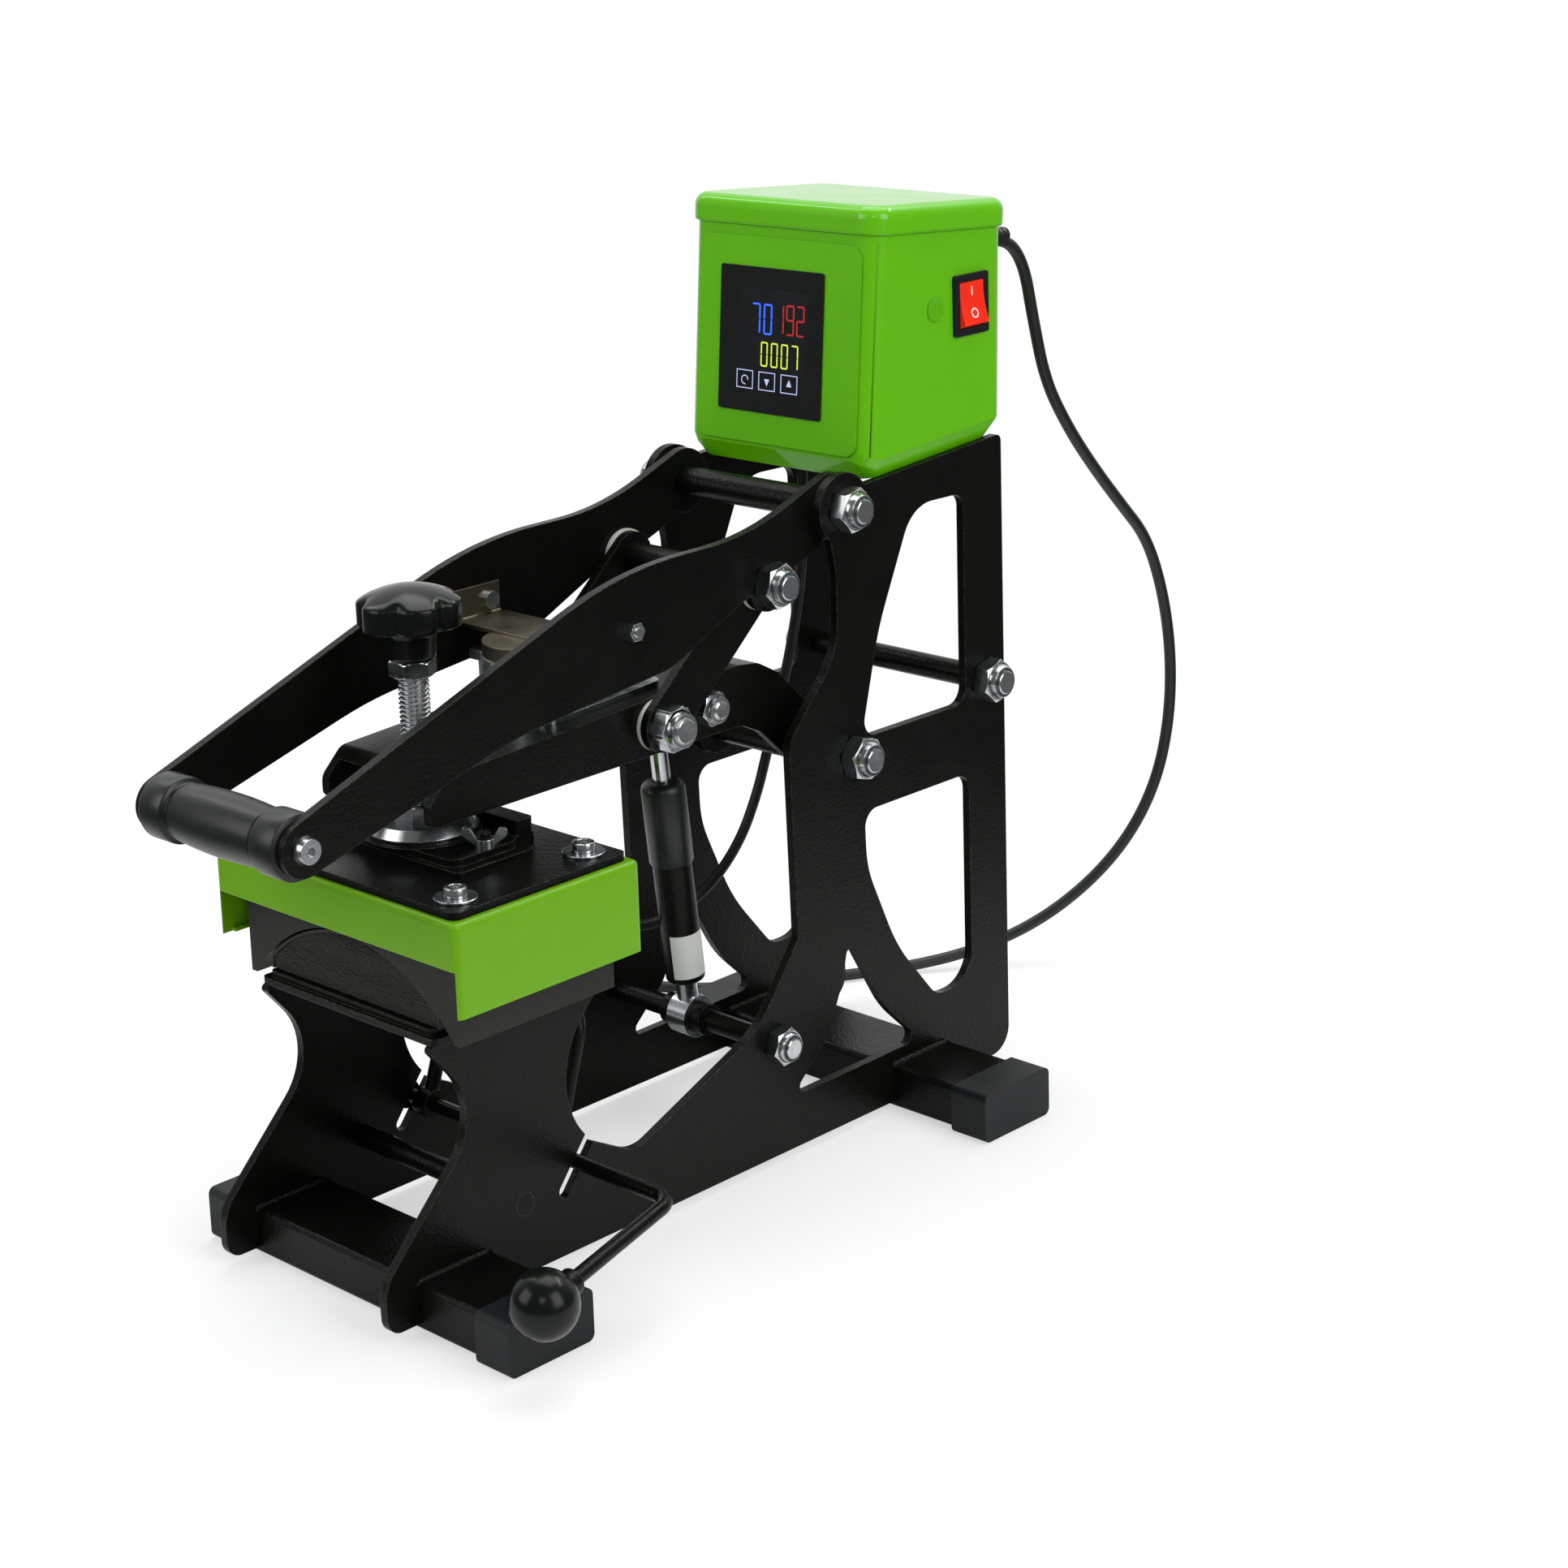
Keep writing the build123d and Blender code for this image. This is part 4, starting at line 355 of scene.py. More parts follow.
# Ribs on the plug's neck and its bright pins, over the CAD plug
plugStart = Vector(mainsCord["tail"][-1])
plugHeading = (plugStart - Vector(mainsCord["tail"][-2])).normalized()
bm = bmesh.new()
for rib in range(4):
    at = plugStart + plugHeading * (1.2 + 2.2 * rib)
    turn(bm, [(4.6, 0), (5.6, 0.3), (5.6, 1.1), (4.6, 1.4)], at, plugHeading, 32)
closeShape(bm)
plugRibs = keepPiece("plugRibs", bm, "frame", "cordRubber")
bm = bmesh.new()
side = Vector((-plugHeading.y, plugHeading.x, 0))
for across in (-9.5, 9.5):
    turn(bm, [(0, 19.1), (1.7, 18.9), (2.45, 18.0), (2.45, 0), (0, 0)], plugStart + plugHeading * 40 + side * across, plugHeading, 24)
closeShape(bm)
plugPins = keepPiece("plugPins", bm, "frame", "brassPins")
print("mains cord", round(mainsLength, 3))

# Heater lead: slack loop from the box, under the arm, into the shroud's rear
heaterLead = {
    "radius": 3.0,
    "route": [
        (-12, 178, 369.8), (-12, 178, 331.9), (-13, 175, 293), (-17, 169, 254), (-21, 161, 221), (-22, 152, 196), (-22.9, 143.8, 173.2), (-22, 127, 148), (-22, 101, 128), (-22, 67, 118), (-22, 32, 123),
        (-22, 1, 141), (-22, -25, 168), (-22, -48, 192), (-22, -74.2, 192),
    ],
}
heaterCable, leadPath, leadLength = tubeOf(routeCurve("heaterCableLine", heaterLead["route"], heaterLead["radius"]))
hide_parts("heater_lead_frame", "heater_lead_arm")
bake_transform(heaterCable)
print("heater lead", round(leadLength, 3))


def addBlock(bm, frameOf, centre, size):
    return bmesh.ops.create_cube(bm, size=1, matrix=frameOf @ Matrix.Translation(Vector(centre) * mm) @ Matrix.Diagonal((*[s * mm for s in size], 1)))["verts"]


# Lock nuts: chamfered hexagon, rolled collar, nylon ring and the bolt's threaded end
def nutTemplate(across, hexHigh, collarHigh, bore):
    bm = bmesh.new()
    bmesh.ops.create_cone(bm, cap_ends=True, segments=6, radius1=across / math.sqrt(3) * mm, radius2=across / math.sqrt(3) * mm, depth=hexHigh * mm, matrix=Matrix.Translation((0, 0, hexHigh / 2 * mm)))
    for end in (1, -1):
        for cut in range(24):
            angle = 2 * math.pi * cut / 24
            out = Vector((math.cos(angle), math.sin(angle), 0))
            at = out * across * 0.487 * mm + Vector((0, 0, hexHigh * mm if end > 0 else 0))
            cutGeom = bmesh.ops.bisect_plane(bm, geom=bm.verts[:] + bm.edges[:] + bm.faces[:], plane_co=at, plane_no=out * 0.5 + Vector((0, 0, end * 0.866)), clear_outer=True)["geom_cut"]
            rim = [g for g in cutGeom if isinstance(g, bmesh.types.BMEdge)]
            if len(rim) > 2:
                bmesh.ops.edgeloop_fill(bm, edges=rim)
    top = hexHigh + collarHigh
    turn(bm, [(across * 0.455, hexHigh - 0.6), (across * 0.455, hexHigh + 0.5), (across * 0.43, hexHigh + collarHigh * 0.55), (across * 0.4, top - 0.35), (across * 0.375, top), (bore + 1.6, top - 0.15), (bore + 1.35, top - 0.7), (bore + 1.35, top - 1.6)], (0, 0, 0), (0, 0, 1), 40)
    # Bolt end: last thread, chamfer and the cropped face
    turn(bm, [(bore + 0.06, top - 2.4), (bore + 0.06, top - 0.4), (bore - 0.3, top - 0.1), (bore + 0.06, top + 0.2), (bore + 0.06, top + 0.7), (bore - 0.9, top + 1.4), (bore * 0.45, top + 1.3), (0, top + 1.2)], (0, 0, 0), (0, 0, 1), 32)
    bmesh.ops.recalc_face_normals(bm, faces=bm.faces[:])
    ring = bmesh.new()
    turn(ring, [(bore + 0.02, top - 1.2), (bore + 0.1, top - 0.5), (bore + 0.7, top - 0.28), (bore + 1.4, top - 0.55)], (0, 0, 0), (0, 0, 1), 32)
    bmesh.ops.recalc_face_normals(ring, faces=ring.faces[:])
    return bm, ring


def placeCopies(template, places):
    whole = bmesh.new()
    for matrix in places:
        part = template.copy()
        bmesh.ops.transform(part, matrix=matrix, verts=part.verts[:])
        mesh = bpy.data.meshes.new("part")
        part.to_mesh(mesh)
        part.free()
        whole.from_mesh(mesh)
        bpy.data.meshes.remove(mesh)
    return whole


def nutPlaces(seats, spin):
    # Seats are (y, z, x of the seat); the nut points away from the mid-plane
    places = []
    for index, (y, z, x) in enumerate(seats):
        way = 1 if x > 0 else -1
        turnOut = Matrix.Rotation(way * math.pi / 2, 4, "Y")
        places.append(Matrix.Translation(Vector((x, y, z)) * mm) @ turnOut @ Matrix.Rotation(math.radians(spin + 17 * index), 4, "Z"))
    return places


nutSets = {
    "frameNuts": {"body": "frame", "nodes": ["frame_nuts"], "size": (22.0, 10.0, 4.0, 7.0), "seats": [(y, z, x) for y, z in ((125, 357.5), (129, 217), (242, 235.5)) for x in (67, -67)]},
    "footShaftNuts": {"body": "frame", "nodes": [], "size": (19.0, 8.5, 3.0, 6.0), "seats": [(60, 70, x) for x in (67, -67)]},
    "linkShaftNuts": {"body": "handle", "nodes": ["link_shaft_nuts"], "size": (22.0, 10.0, 4.0, 7.0), "seats": [(74.5, 324.5, x) for x in (58, -58)]},
    "kneeNuts": {"body": "link", "nodes": [], "size": (22.0, 10.0, 4.0, 7.0), "seats": [(1, 261.5, x) for x in (50, -50)]},
    "strutPinNuts": {"body": "arm", "nodes": [], "size": (17.0, 7.0, 3.0, 5.0), "seats": [(40, 261.5, x) for x in (42, -42)]},
}
for name, nutSet in nutSets.items():
    nutShape, ringShape = nutTemplate(*nutSet["size"])
    places = nutPlaces(nutSet["seats"], 11)
    piece = keepPiece(name, placeCopies(nutShape, places), nutSet["body"], "zincPlate", 25)
    if nutSet["nodes"]:
        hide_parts(*nutSet["nodes"])
    keepPiece(name + "Inserts", placeCopies(ringShape, places), nutSet["body"], "blueNylonInsert", 25)
    nutShape.free()
    ringShape.free()
print("lock nuts")


# Trapezoid thread cut as one helix on a core
def threadedRod(bm, x, y, low, high, crest, pitch, steps=28):
    root = crest - 0.6 * pitch
    turns = round((high - low) / pitch)
    points = [bm.verts.new(Vector((x + r, y, low + h * pitch)) * mm) for r, h in ((root, 0.0), (crest, 0.38), (crest, 0.52), (root, 0.9), (root, 1.0))]
    edges = [bm.edges.new(pair) for pair in zip(points, points[1:])]
    bmesh.ops.spin(bm, geom=points + edges, cent=Vector((x, y, low)) * mm, axis=(0, 0, 1), dvec=(0, 0, pitch * mm / steps), angle=2 * math.pi * turns, steps=steps * turns, use_duplicate=False)
    bmesh.ops.remove_doubles(bm, verts=bm.verts[:], dist=1e-5)
    turn(bm, [(0, 0), (root + 0.02, 0), (root + 0.02, high - low + pitch), (0, high - low + pitch)], (x, y, low), (0, 0, 1), 32)


pressureScrew = {"y": -127.0, "low": 226.0, "high": 318.0, "crest": 8.0, "pitch": 2.4, "nutAcross": 21.5, "nutLow": 310.2, "nutHigh": 9.0}
bm = bmesh.new()
threadedRod(bm, 0, pressureScrew["y"], pressureScrew["low"], pressureScrew["high"], pressureScrew["crest"], pressureScrew["pitch"])
bmesh.ops.recalc_face_normals(bm, faces=bm.faces[:])
# The jam nut is a hexagon with 30 degree chamfers at both ends
corner = pressureScrew["nutAcross"] / 2
rows = []
for depth in (0.0, 0.5, 1.0, 1.5, -1.5, -1.0, -0.5, -0.01):
    height = depth if depth >= 0 else pressureScrew["nutHigh"] + depth
    row = []
    for step in range(72):
        angle = math.radians(5 * step)
        flat = corner / math.cos((angle + math.pi / 6) % (math.pi / 3) - math.pi / 6)
        reach = min(flat, 0.95 * corner + 1.73 * abs(depth))
        spot = (reach * math.cos(angle + 0.5), reach * math.sin(angle + 0.5) + pressureScrew["y"])
        row.append(bm.verts.new(Vector((*spot, pressureScrew["nutLow"] + height)) * mm))
    rows.append(row)
for under, over in zip(rows, rows[1:]):
    for step in range(72):
        bm.faces.new((under[step - 1], under[step], over[step], over[step - 1]))
bm.faces.new(rows[0][::-1])
bm.faces.new(rows[-1])
screwPiece = keepPiece("threadedScrew", bm, "screw", "zincPlate", 22)
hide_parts("pressure_screw")

# Star knob: six wide lobes with shallow hollows between them, under one smooth dome, on a tapered hub
starKnob = {"y": -127.0, "low": 336.0, "radius": 27.0, "lobes": 6, "hollow": 0.15, "phase": 33}
rings = [(0.62, 0.9), (0.8, 0.2), (0.93, 0.2), (0.985, 0.8), (1.0, 2.0), (1.0, 12.2), (0.99, 13.2), (0.96, 14.0), (0.9, 15.0),
         (0.79, 16.6), (0.66, 18.0), (0.52, 19.2), (0.38, 20.2), (0.2, 21.0), (0.05, 21.2)]
bm = bmesh.new()
loops = []
for share, height in rings:
    loop = []
    for step in range(168):
        angle = 2 * math.pi * step / 168
        hollow = (0.5 - 0.5 * math.cos(starKnob["lobes"] * (angle - math.radians(starKnob["phase"])))) ** 3
        depth = starKnob["hollow"] * hollow * min(1.0, max(0.0, (share - 0.74) / 0.22))
        reach = starKnob["radius"] * share * (1 - depth)
        loop.append(bm.verts.new(Vector((reach * math.cos(angle), starKnob["y"] + reach * math.sin(angle), starKnob["low"] + height)) * mm))
    loops.append(loop)
for lower, upper in zip(loops, loops[1:]):
    for step in range(168):
        bm.faces.new((lower[step - 1], lower[step], upper[step], upper[step - 1]))
bm.faces.new(loops[-1])
bm.faces.new(loops[0][::-1])
turn(bm, [(0, 319.0), (11.2, 319.0), (12.0, 319.7), (12.5, 321.5), (13.2, 331.0), (14.2, 334.4), (17.0, 336.8), (0, 337.2)], (0, starKnob["y"], 0), (0, 0, 1), 64)
bmesh.ops.recalc_face_normals(bm, faces=bm.faces[:])
knobPiece = keepPiece("starKnob", bm, "screw", "polishedPhenolic", 40)
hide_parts("star_knob")
print("pressure screw and knob")

# Socket-head screws and their washers on the head's top plate
topScrew = {"seat": 220.0, "washer": 11.0, "thick": 1.5, "head": 5.8, "high": 5.0, "socket": 3.0}
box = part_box("top_plate_bolts")
topScrew["seats"] = [(x, y) for x in (box[0][0] / mm + topScrew["washer"], box[1][0] / mm - topScrew["washer"]) for y in (box[0][1] / mm + topScrew["washer"], box[1][1] / mm - topScrew["washer"])]
bm = bmesh.new()
for x, y in topScrew["seats"]:
    at = (x, y, topScrew["seat"])
    turn(bm, [(6.0, 0.0), (10.7, 0.0), (11.0, 0.25), (11.0, 1.25), (10.7, 1.5), (6.0, 1.5)], at, (0, 0, 1), 64)
    turn(bm, [(5.2, 1.2), (5.8, 1.6), (5.8, 5.6), (5.5, 6.2), (4.9, 6.5), (3.6, 6.5), (3.3, 6.2), (3.2, 3.2), (0, 2.6)], at, (0, 0, 1), 48)
    turn(bm, [(0, -16.0), (3.0, -16.0), (3.0, 1.0), (0, 1.0)], at, (0, 0, 1), 24)
closeShape(bm)
screwsPiece = keepPiece("socketScrews", bm, "head", "zincPlate", 30)
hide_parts("top_plate_bolts")

# Handle grip: long end collars, a cut groove beside each, and a barrel between them
gripShape = [(4.2, -53), (15.2, -53), (16.4, -52.4), (17.0, -51), (17.0, -36.5), (16.7, -35.6), (15.9, -35), (14.6, -34.6), (14.2, -33.8), (14.3, -32.6), (14.9, -31.8), (15.3, -27), (15.9, -18), (16.3, -8), (16.35, 0)]
bm = bmesh.new()
turn(bm, gripShape + [(r, -x) for r, x in reversed(gripShape[:-1])], (0, -247, 262), (1, 0, 0), 72)
closeShape(bm)
gripPiece = keepPiece("turnedGrip", bm, "handle", "satinGripPlastic", 30)
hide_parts("handle_grip")

# Lower platen's pad: a thin skin over the dome, and a core whose sawn ends show ragged level courses
padShape = {"radius": 94.2, "centre": 92.1, "low": 152.5, "half": 66.0, "front": -178.4, "rear": -76.0, "skin": 1.6, "course": 1.25, "ragged": 0.55, "columns": 170}


def archOutline(inset, steps=90):
    # From the left foot of the arch over the dome to the right foot, in x and z
    radius, half = padShape["radius"] - inset, padShape["half"] - inset
    side = math.asin(half / radius)
    dome = [(radius * math.sin(a), padShape["centre"] + radius * math.cos(a)) for a in (side * (2 * k / steps - 1) for k in range(steps + 1))]
    return [(-half, padShape["low"])] + dome + [(half, padShape["low"])]


def loftRows(bm, rows):
    made = [[bm.verts.new(Vector(point) * mm) for point in row] for row in rows]
    for near, far in zip(made, made[1:]):
        for k in range(len(near) - 1):
            bm.faces.new((near[k], near[k + 1], far[k + 1], far[k]))
    return made


bm = bmesh.new()
outer, inner = archOutline(0.0), archOutline(padShape["skin"])
loftRows(bm, [[(x, y, z) for x, z in line] for line, y in ((outer, padShape["front"]), (outer, padShape["rear"]), (inner, padShape["rear"]), (inner, padShape["front"]), (outer, padShape["front"]))])
bmesh.ops.remove_doubles(bm, verts=bm.verts[:], dist=1e-6)
bmesh.ops.recalc_face_normals(bm, faces=bm.faces[:])
skinPiece = keepPiece("padSkin", bm, "frame", "siliconeSkin", 30)
bm = bmesh.new()
core = archOutline(padShape["skin"] + 0.05)
loftRows(bm, [[(x, y, z) for x, z in core] for y in (padShape["front"] + 1.2, padShape["rear"] - 1.2)])
for end, way in ((padShape["front"] + 0.5, 1), (padShape["rear"] - 0.5, -1)):
    rows = []
    low, crown = padShape["low"], max(z for x, z in core) - 0.15
    for course in range(int((crown - low) / padShape["course"]) + 1):
        for part, sunk in ((0.02, 1.0), (0.2, 0.0), (0.8, 0.12), (0.98, 1.0)):
            z = min(crown, low + (course + part) * padShape["course"])
            radius = padShape["radius"] - padShape["skin"] - 0.05
            half = min(padShape["half"] - padShape["skin"] - 0.05, math.sqrt(max(0.01, radius**2 - (z - padShape["centre"]) ** 2)))
            row = []
            for column in range(padShape["columns"] + 1):
                x = half * (2 * column / padShape["columns"] - 1)
                tear = noise.noise((x * 0.16, course * 5.3, 0.0)) + 0.6 * noise.noise((x * 0.7, course * 9.1, 3.0))
                row.append((x, end + way * (0.75 * sunk - padShape["ragged"] * tear * (1 - 0.5 * sunk)), z + 0.22 * noise.noise((x * 0.5, z, 7.0)) * (part < 0.5)))
            rows.append(row)
    loftRows(bm, rows)
bmesh.ops.recalc_face_normals(bm, faces=bm.faces[:])
padCore = keepPiece("padCore", bm, "frame", "ribbedSilicone", 60)
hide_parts("platen_pad")
print("grip and pad")

# Display: black window's liquid crystal, digits of bevelled bars, and three outlined touch keys
panelPlane = Matrix(((1, 0, 0, 0), (0, 0.085268, -0.996358, 0.1423), (0, 0.996358, 0.085268, 0.3676), (0, 0, 0, 1)))
displayFace = 2.2
bars = {"a": (0, 1, 1, 0), "b": (1, 0.5, 0, 1), "c": (1, -0.5, 0, 1), "d": (0, -1, 1, 0), "e": (-1, -0.5, 0, 1), "f": (-1, 0.5, 0, 1), "g": (0, 0, 1, 0)}
lit = {"0": "abcdef", "1": "bc", "2": "abged", "7": "abc", "9": "abcdfg"}
readouts = [
    {"name": "digitsTime", "text": "70", "left": -17.9, "top": 91.6, "wide": 6.4, "high": 17.2, "step": 8.8, "bar": 1.05, "finish": "timeBlue"},
    {"name": "digitsHeat", "text": "192", "left": 0.2, "top": 92.3, "wide": 6.0, "high": 17.0, "step": 7.6, "bar": 1.05, "finish": "heatRed"},
    {"name": "digitsCount", "text": "0007", "left": -10.6, "top": 70.4, "wide": 5.2, "high": 13.8, "step": 7.6, "bar": 0.85, "finish": "countYellow"},
]
bm = bmesh.new()
addBlock(bm, panelPlane, (-1.2, 76.5, displayFace), (50.0, 45.0, 0.12))
keepPiece("crystalPanel", bm, "frame", "liquidCrystal")
for readout in readouts:
    bm = bmesh.new()
    for place, digit in enumerate(readout["text"]):
        centreU = readout["left"] + readout["wide"] / 2 + place * readout["step"]
        centreV = readout["top"] - readout["high"] / 2
        for bar in lit[digit]:
            sideways, upward, flat, tall = bars[bar]
            long = (readout["wide"] if flat else readout["high"] / 2) - readout["bar"] * 0.75
            size = (long, readout["bar"], 0.14) if flat else (readout["bar"], long, 0.14)
            corners = addBlock(bm, panelPlane, (centreU + sideways * (readout["wide"] - readout["bar"]) / 2, centreV + upward * (readout["high"] - readout["bar"]) / 2, displayFace + 0.08), size)
            upright = [e for e in bm.edges if e.verts[0] in corners and e.verts[1] in corners and e.calc_length() < 0.2 * mm]
            bmesh.ops.bevel(bm, geom=upright, offset=readout["bar"] * 0.42 * mm, offset_type="OFFSET", segments=1, profile=0.5, affect="EDGES", material=-1)
    keepPiece(readout["name"], bm, "frame", readout["finish"])
touchKeys = {"left": -28.3, "step": 16.7, "top": 53.4, "wide": 12.0, "high": 9.9, "line": 0.5}
bm = bmesh.new()
for place in range(3):
    u = touchKeys["left"] + touchKeys["wide"] / 2 + place * touchKeys["step"]
    v = touchKeys["top"] - touchKeys["high"] / 2
    for sideways in (-1, 1):
        addBlock(bm, panelPlane, (u + sideways * touchKeys["wide"] / 2, v, displayFace + 0.05), (touchKeys["line"], touchKeys["high"] + touchKeys["line"], 0.12))
        addBlock(bm, panelPlane, (u, v + sideways * touchKeys["high"] / 2, displayFace + 0.05), (touchKeys["wide"], touchKeys["line"], 0.12))
    if place:
        bmesh.ops.create_cone(bm, cap_ends=True, segments=3, radius1=2.3 * mm, radius2=2.3 * mm, depth=0.12 * mm, matrix=panelPlane @ Matrix.Translation(Vector((u, v, displayFace + 0.05)) * mm) @ Matrix.Diagonal((0.95, 1.15, 1, 1)) @ Matrix.Rotation(math.radians(0 if place == 2 else 180), 4, "Z"))
    else:
        stroke = addBlock(bm, panelPlane, (u + 2.4, v - 0.4, displayFace + 0.05), (0.55, 0.01, 0.12))
        arcGeom = list({f for s in stroke for f in s.link_faces if abs((panelPlane.to_3x3().inverted() @ f.normal).y) > 0.9})[:1]
        bmesh.ops.spin(bm, geom=arcGeom, cent=panelPlane @ (Vector((u, v - 0.4, displayFace)) * mm), axis=panelPlane.to_3x3() @ Vector((0, 0, 1)), angle=math.radians(285), steps=24)
keepPiece("touchKeys", bm, "frame", "keyWhite")
print("display")


def onSurface(nodeName, start, way):
    found, place, normal, face = nodes[nodeName].ray_cast(Vector(start) * mm, Vector(way))
    return (place, normal) if found else (Vector(start) * mm, -Vector(way))


# Rocker's moulded marks: a bar above and a ring below
bm = bmesh.new()
for z, shape in ((461.4, "bar"), (449.2, "ring")):
    place, normal = onSurface("rocker_button", (100, 229.8, z), (-1, 0, 0))
    upward = (Vector((0, 0, 1)) - normal * normal.z).normalized()
    sideways = upward.cross(normal)
    base = Matrix((sideways, upward, normal)).transposed().to_4x4()
    base.translation = place
    if shape == "bar":
        addBlock(bm, base, (0, 0, 0.02), (0.9, 5.0, 0.16))
    else:
        loop = [(2.0, -0.05), (2.9, -0.05), (2.9, 0.1), (2.0, 0.1), (2.0, -0.05)]
        turn(bm, loop, place / mm, normal, 40)
closeShape(bm)
keepPiece("rockerMarks", bm, "rocker", "whiteInk")

# Blank paper sticker wrapped low on the strut
strutAxis = Vector((0, 40 - 60, 261.5 - 70)).normalized()
strutFoot = Vector((0, 60, 70))
sticker = {"low": 26.0, "high": 52.0, "radius": 11.1, "from": -77, "to": 52}
bm = bmesh.new()
outward = Vector((math.cos(math.radians(sticker["from"])), math.sin(math.radians(sticker["from"])), 0))
outward = (outward - strutAxis * outward.dot(strutAxis)).normalized()
paperEdge = [(sticker["radius"], sticker["low"]), (sticker["radius"], sticker["high"]), (sticker["radius"] + 0.12, sticker["high"]), (sticker["radius"] + 0.12, sticker["low"])]
slip = bm.faces.new([bm.verts.new((strutFoot + strutAxis * along + outward * out) * mm) for out, along in paperEdge])
bmesh.ops.spin(bm, geom=[slip], cent=strutFoot * mm, axis=strutAxis, angle=math.radians(sticker["to"] - sticker["from"]), steps=28)
closeShape(bm)
keepPiece("blankSticker", bm, "strut_tube", "stickerPaper")

# Strut's wider end cap and its wiper ring
bm = bmesh.new()
capAt = strutFoot + strutAxis * 119
turn(bm, [(10.9, -26), (11.9, -25.6), (12.4, -24.6), (12.4, 17.5), (11.9, 19.8), (10.4, 21.6), (8.2, 22.4), (5.4, 22.6), (5.4, 21.0)], capAt, strutAxis, 64)
closeShape(bm)
keepPiece("strutCap", bm, "strut_tube", "satinGripPlastic")
print("rocker marks, sticker and strut cap")

# Weld beads: overlapping ripples along both sides of each plate on the foot tubes
weld = {"pitch": 2.2, "radius": 2.4, "from": -24, "to": 24}
bm = bmesh.new()
for footY in (-178.5, 178.5):
    for x in (-67, -62, 62, 67):
        count = int((weld["to"] - weld["from"]) / weld["pitch"])
        for ripple in range(count):
            y = footY + weld["from"] + ripple * weld["pitch"]
            wobble = 0.25 * math.sin(1.7 * ripple + x)
            bmesh.ops.create_icosphere(bm, subdivisions=2, radius=1.0, matrix=Matrix.Translation(Vector((x + 0.5 * wobble, y, 26.7)) * mm) @ Matrix.Diagonal((weld["radius"] * mm, 1.8 * mm, (weld["radius"] + wobble) * mm, 1)))
keepPiece("weldBeads", bm, "frame", "blackPowderCoat", 60)
print("welds")

# Floor, light and camera
bm = bmesh.new()
bmesh.ops.create_grid(bm, x_segments=1, y_segments=1, size=6.0)
floorMesh = bpy.data.meshes.new("studioFloor")
bm.to_mesh(floorMesh)
bm.free()
studioFloor = bpy.data.objects.new("studioFloor", floorMesh)
studioFloor.location.z = -0.0005
scene.collection.objects.link(studioFloor)
floorFinish = bpy.data.materials.new("palePaperFloor")
floorFinish.use_nodes = True
tree = floorFinish.node_tree
shader = tree.nodes["Principled BSDF"]
shader.inputs["Roughness"].default_value = 0.9
shader.inputs["Specular IOR Level"].default_value = 0.1
fibre = addNode(tree, "TexNoise", {"Scale": 300.0}, {"Vector": addNode(tree, "TexCoord").outputs["Object"]})
paper = addNode(tree, "Mix", {"data_type": "RGBA", 6: hexColor("#f6f6f6"), 7: hexColor("#fbfbfb")}, {0: fibre.outputs[0]})
tree.links.new(paper.outputs[2], shader.inputs["Base Color"])
reach = addNode(tree, "VectorMath", {"operation": "LENGTH"}, {0: tree.nodes["Texture Coordinate"].outputs["Object"]})
fade = addNode(tree, "MapRange", {"interpolation_type": "SMOOTHSTEP", "From Min": 0.32, "From Max": 0.8}, {"Value": reach.outputs["Value"]})
clear = addNode(tree, "BsdfTransparent")
lift = addNode(tree, "Emission", {"Color": (1, 1, 1, 1), "Strength": 1.0})
share = addNode(tree, "Math", {"operation": "MULTIPLY", 1: 0.55}, {0: addNode(tree, "LightPath").outputs["Is Camera Ray"]})
lifted = addNode(tree, "MixShader", None, {0: share.outputs[0], 1: shader.outputs[0], 2: lift.outputs[0]})
faded = addNode(tree, "MixShader", None, {0: fade.outputs[0], 1: lifted.outputs[0], 2: clear.outputs[0]})
tree.links.new(faded.outputs[0], tree.nodes["Material Output"].inputs["Surface"])
floorMesh.materials.append(floorFinish)

world = bpy.data.worlds.new("studio")
scene.world = world
world.use_nodes = True
tree = world.node_tree
rays = addNode(tree, "LightPath")
seen = addNode(tree, "Math", {"operation": "MAXIMUM"}, {0: rays.outputs["Is Camera Ray"], 1: rays.outputs["Is Transmission Ray"]})
# The white backdrop stands behind the press: metal and paint show it from there, and a dim room from the front
toward = addNode(tree, "TexCoord").outputs["Generated"]
behind = addNode(tree, "VectorMath", {"operation": "DOT_PRODUCT", 1: (-0.62, 0.64, 0.45)}, {0: toward})
backdrop = addNode(tree, "MapRange", {"interpolation_type": "SMOOTHSTEP", "From Min": 0.25, "From Max": 0.95, "To Min": 0.14, "To Max": 1.0}, {"Value": behind.outputs["Value"]})
seen = addNode(tree, "Math", {"operation": "MAXIMUM"}, {0: seen.outputs[0], 1: rays.outputs["Is Glossy Ray"]})
level = addNode(tree, "Mix", {"data_type": "FLOAT", 2: 1.0}, {0: rays.outputs["Is Glossy Ray"], 3: backdrop.outputs[0]})
plain = tree.nodes["Background"]
plain.inputs["Color"].default_value = (1, 1, 1, 1)
plain.inputs["Strength"].default_value = 0.5
white = addNode(tree, "Background", {"Color": (1, 1, 1, 1)}, {"Strength": level.outputs[0]})
both = addNode(tree, "MixShader", None, {0: seen.outputs[0], 1: plain.outputs[0], 2: white.outputs[0]})
tree.links.new(both.outputs[0], tree.nodes["World Output"].inputs["Surface"])

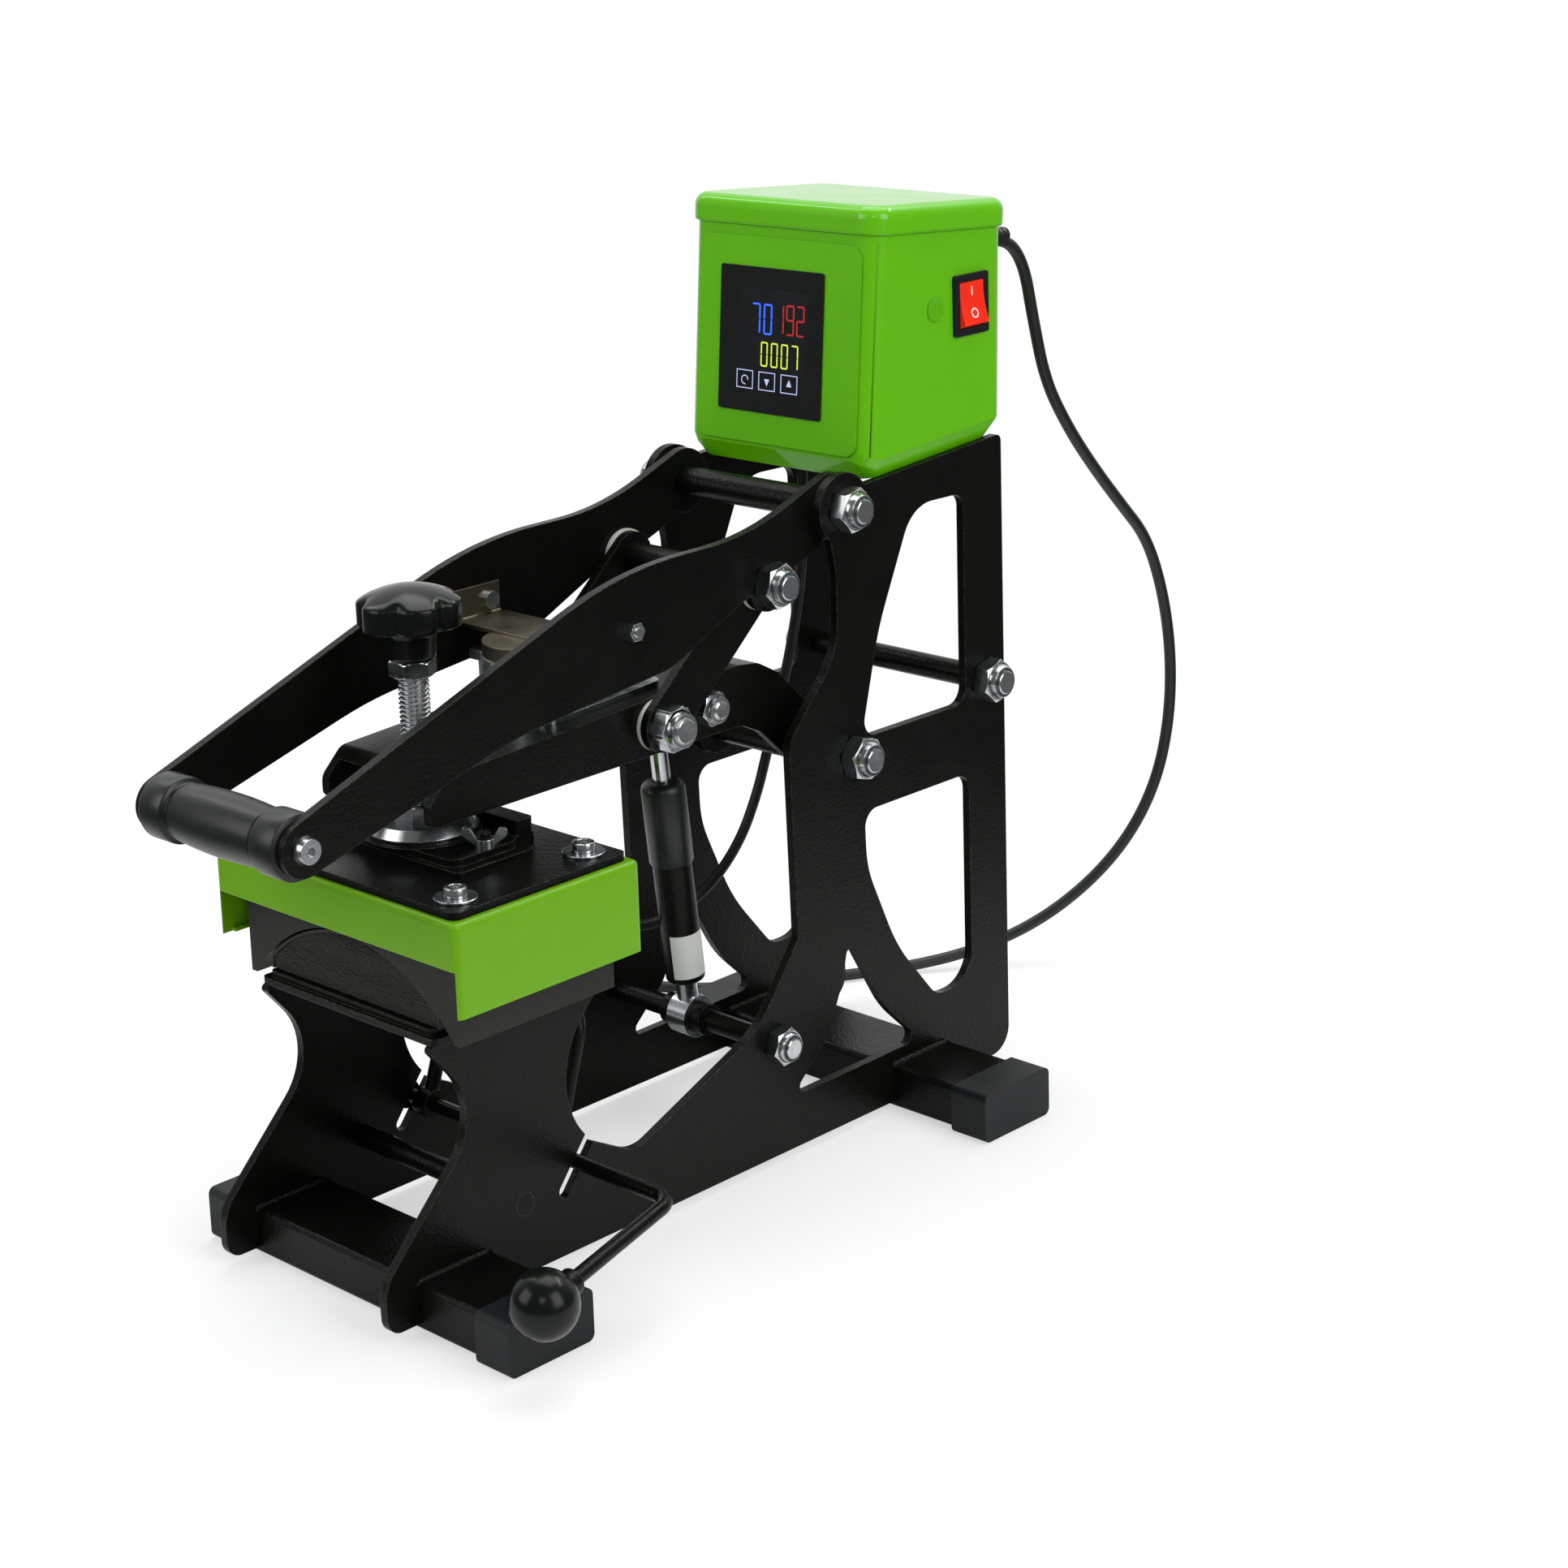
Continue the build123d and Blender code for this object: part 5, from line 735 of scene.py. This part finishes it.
lamps = [
    {"name": "topSoftbox", "at": (-0.2, 0.5, 2.1), "aim": (0, 0, 0.25), "size": (1.8, 1.4), "power": 26},
    {"name": "rightSoftbox", "at": (2.0, 0.1, 1.2), "aim": (0, 0, 0.3), "size": (1.2, 1.6), "power": 24},
    {"name": "cameraSoftbox", "at": (1.5, -1.7, 1.7), "aim": (0, 0, 0.3), "size": (0.6, 0.6), "power": 5},
    {"name": "frontSoftbox", "at": (-0.9, -1.9, 1.3), "aim": (0, 0, 0.25), "size": (1.4, 1.4), "power": 19},
    {"name": "rearEdgeStrip", "at": (0.35, 1.6, 1.8), "aim": (0, 0.2, 0.45), "size": (1.2, 0.2), "power": 9, "edges": True},
    {"name": "leftEdgeStrip", "at": (-1.3, -0.1, 1.85), "aim": (0, 0.2, 0.45), "size": (0.2, 1.0), "power": 4, "edges": True},
]
for lamp in lamps:
    light = bpy.data.lights.new(lamp["name"], "AREA")
    light.shape = "RECTANGLE"
    light.size, light.size_y = lamp["size"]
    light.energy = lamp["power"]
    holder = bpy.data.objects.new(lamp["name"], light)
    holder.location = lamp["at"]
    holder.rotation_euler = (Vector(lamp["aim"]) - Vector(lamp["at"])).to_track_quat("-Z", "Y").to_euler()
    # An edge strip only draws the bright lines that rounded edges show
    holder.visible_diffuse = not lamp.get("edges", False)
    scene.collection.objects.link(holder)

view = {"at": (1.1912, -1.1185, 0.7459), "lens": 73.157, "shift": (0.1232, -0.1494)}
camera = bpy.data.cameras.new("photoCamera")
camera.sensor_width = 36.0
camera.lens = view["lens"]
camera.shift_x, camera.shift_y = view["shift"]
camera.clip_start, camera.clip_end = 0.05, 30.0
cameraHolder = bpy.data.objects.new("photoCamera", camera)
turnOf = Matrix(((0.69146571, -0.14076382, 0.70856243), (0.72108153, 0.19392643, -0.6651571), (-0.04377893, 0.97086461, 0.23559567)))
cameraHolder.matrix_world = Matrix.Translation(view["at"]) @ turnOf.to_4x4()
scene.collection.objects.link(cameraHolder)
scene.camera = cameraHolder
scene.view_settings.view_transform = "Standard"
print("floor, light and camera")
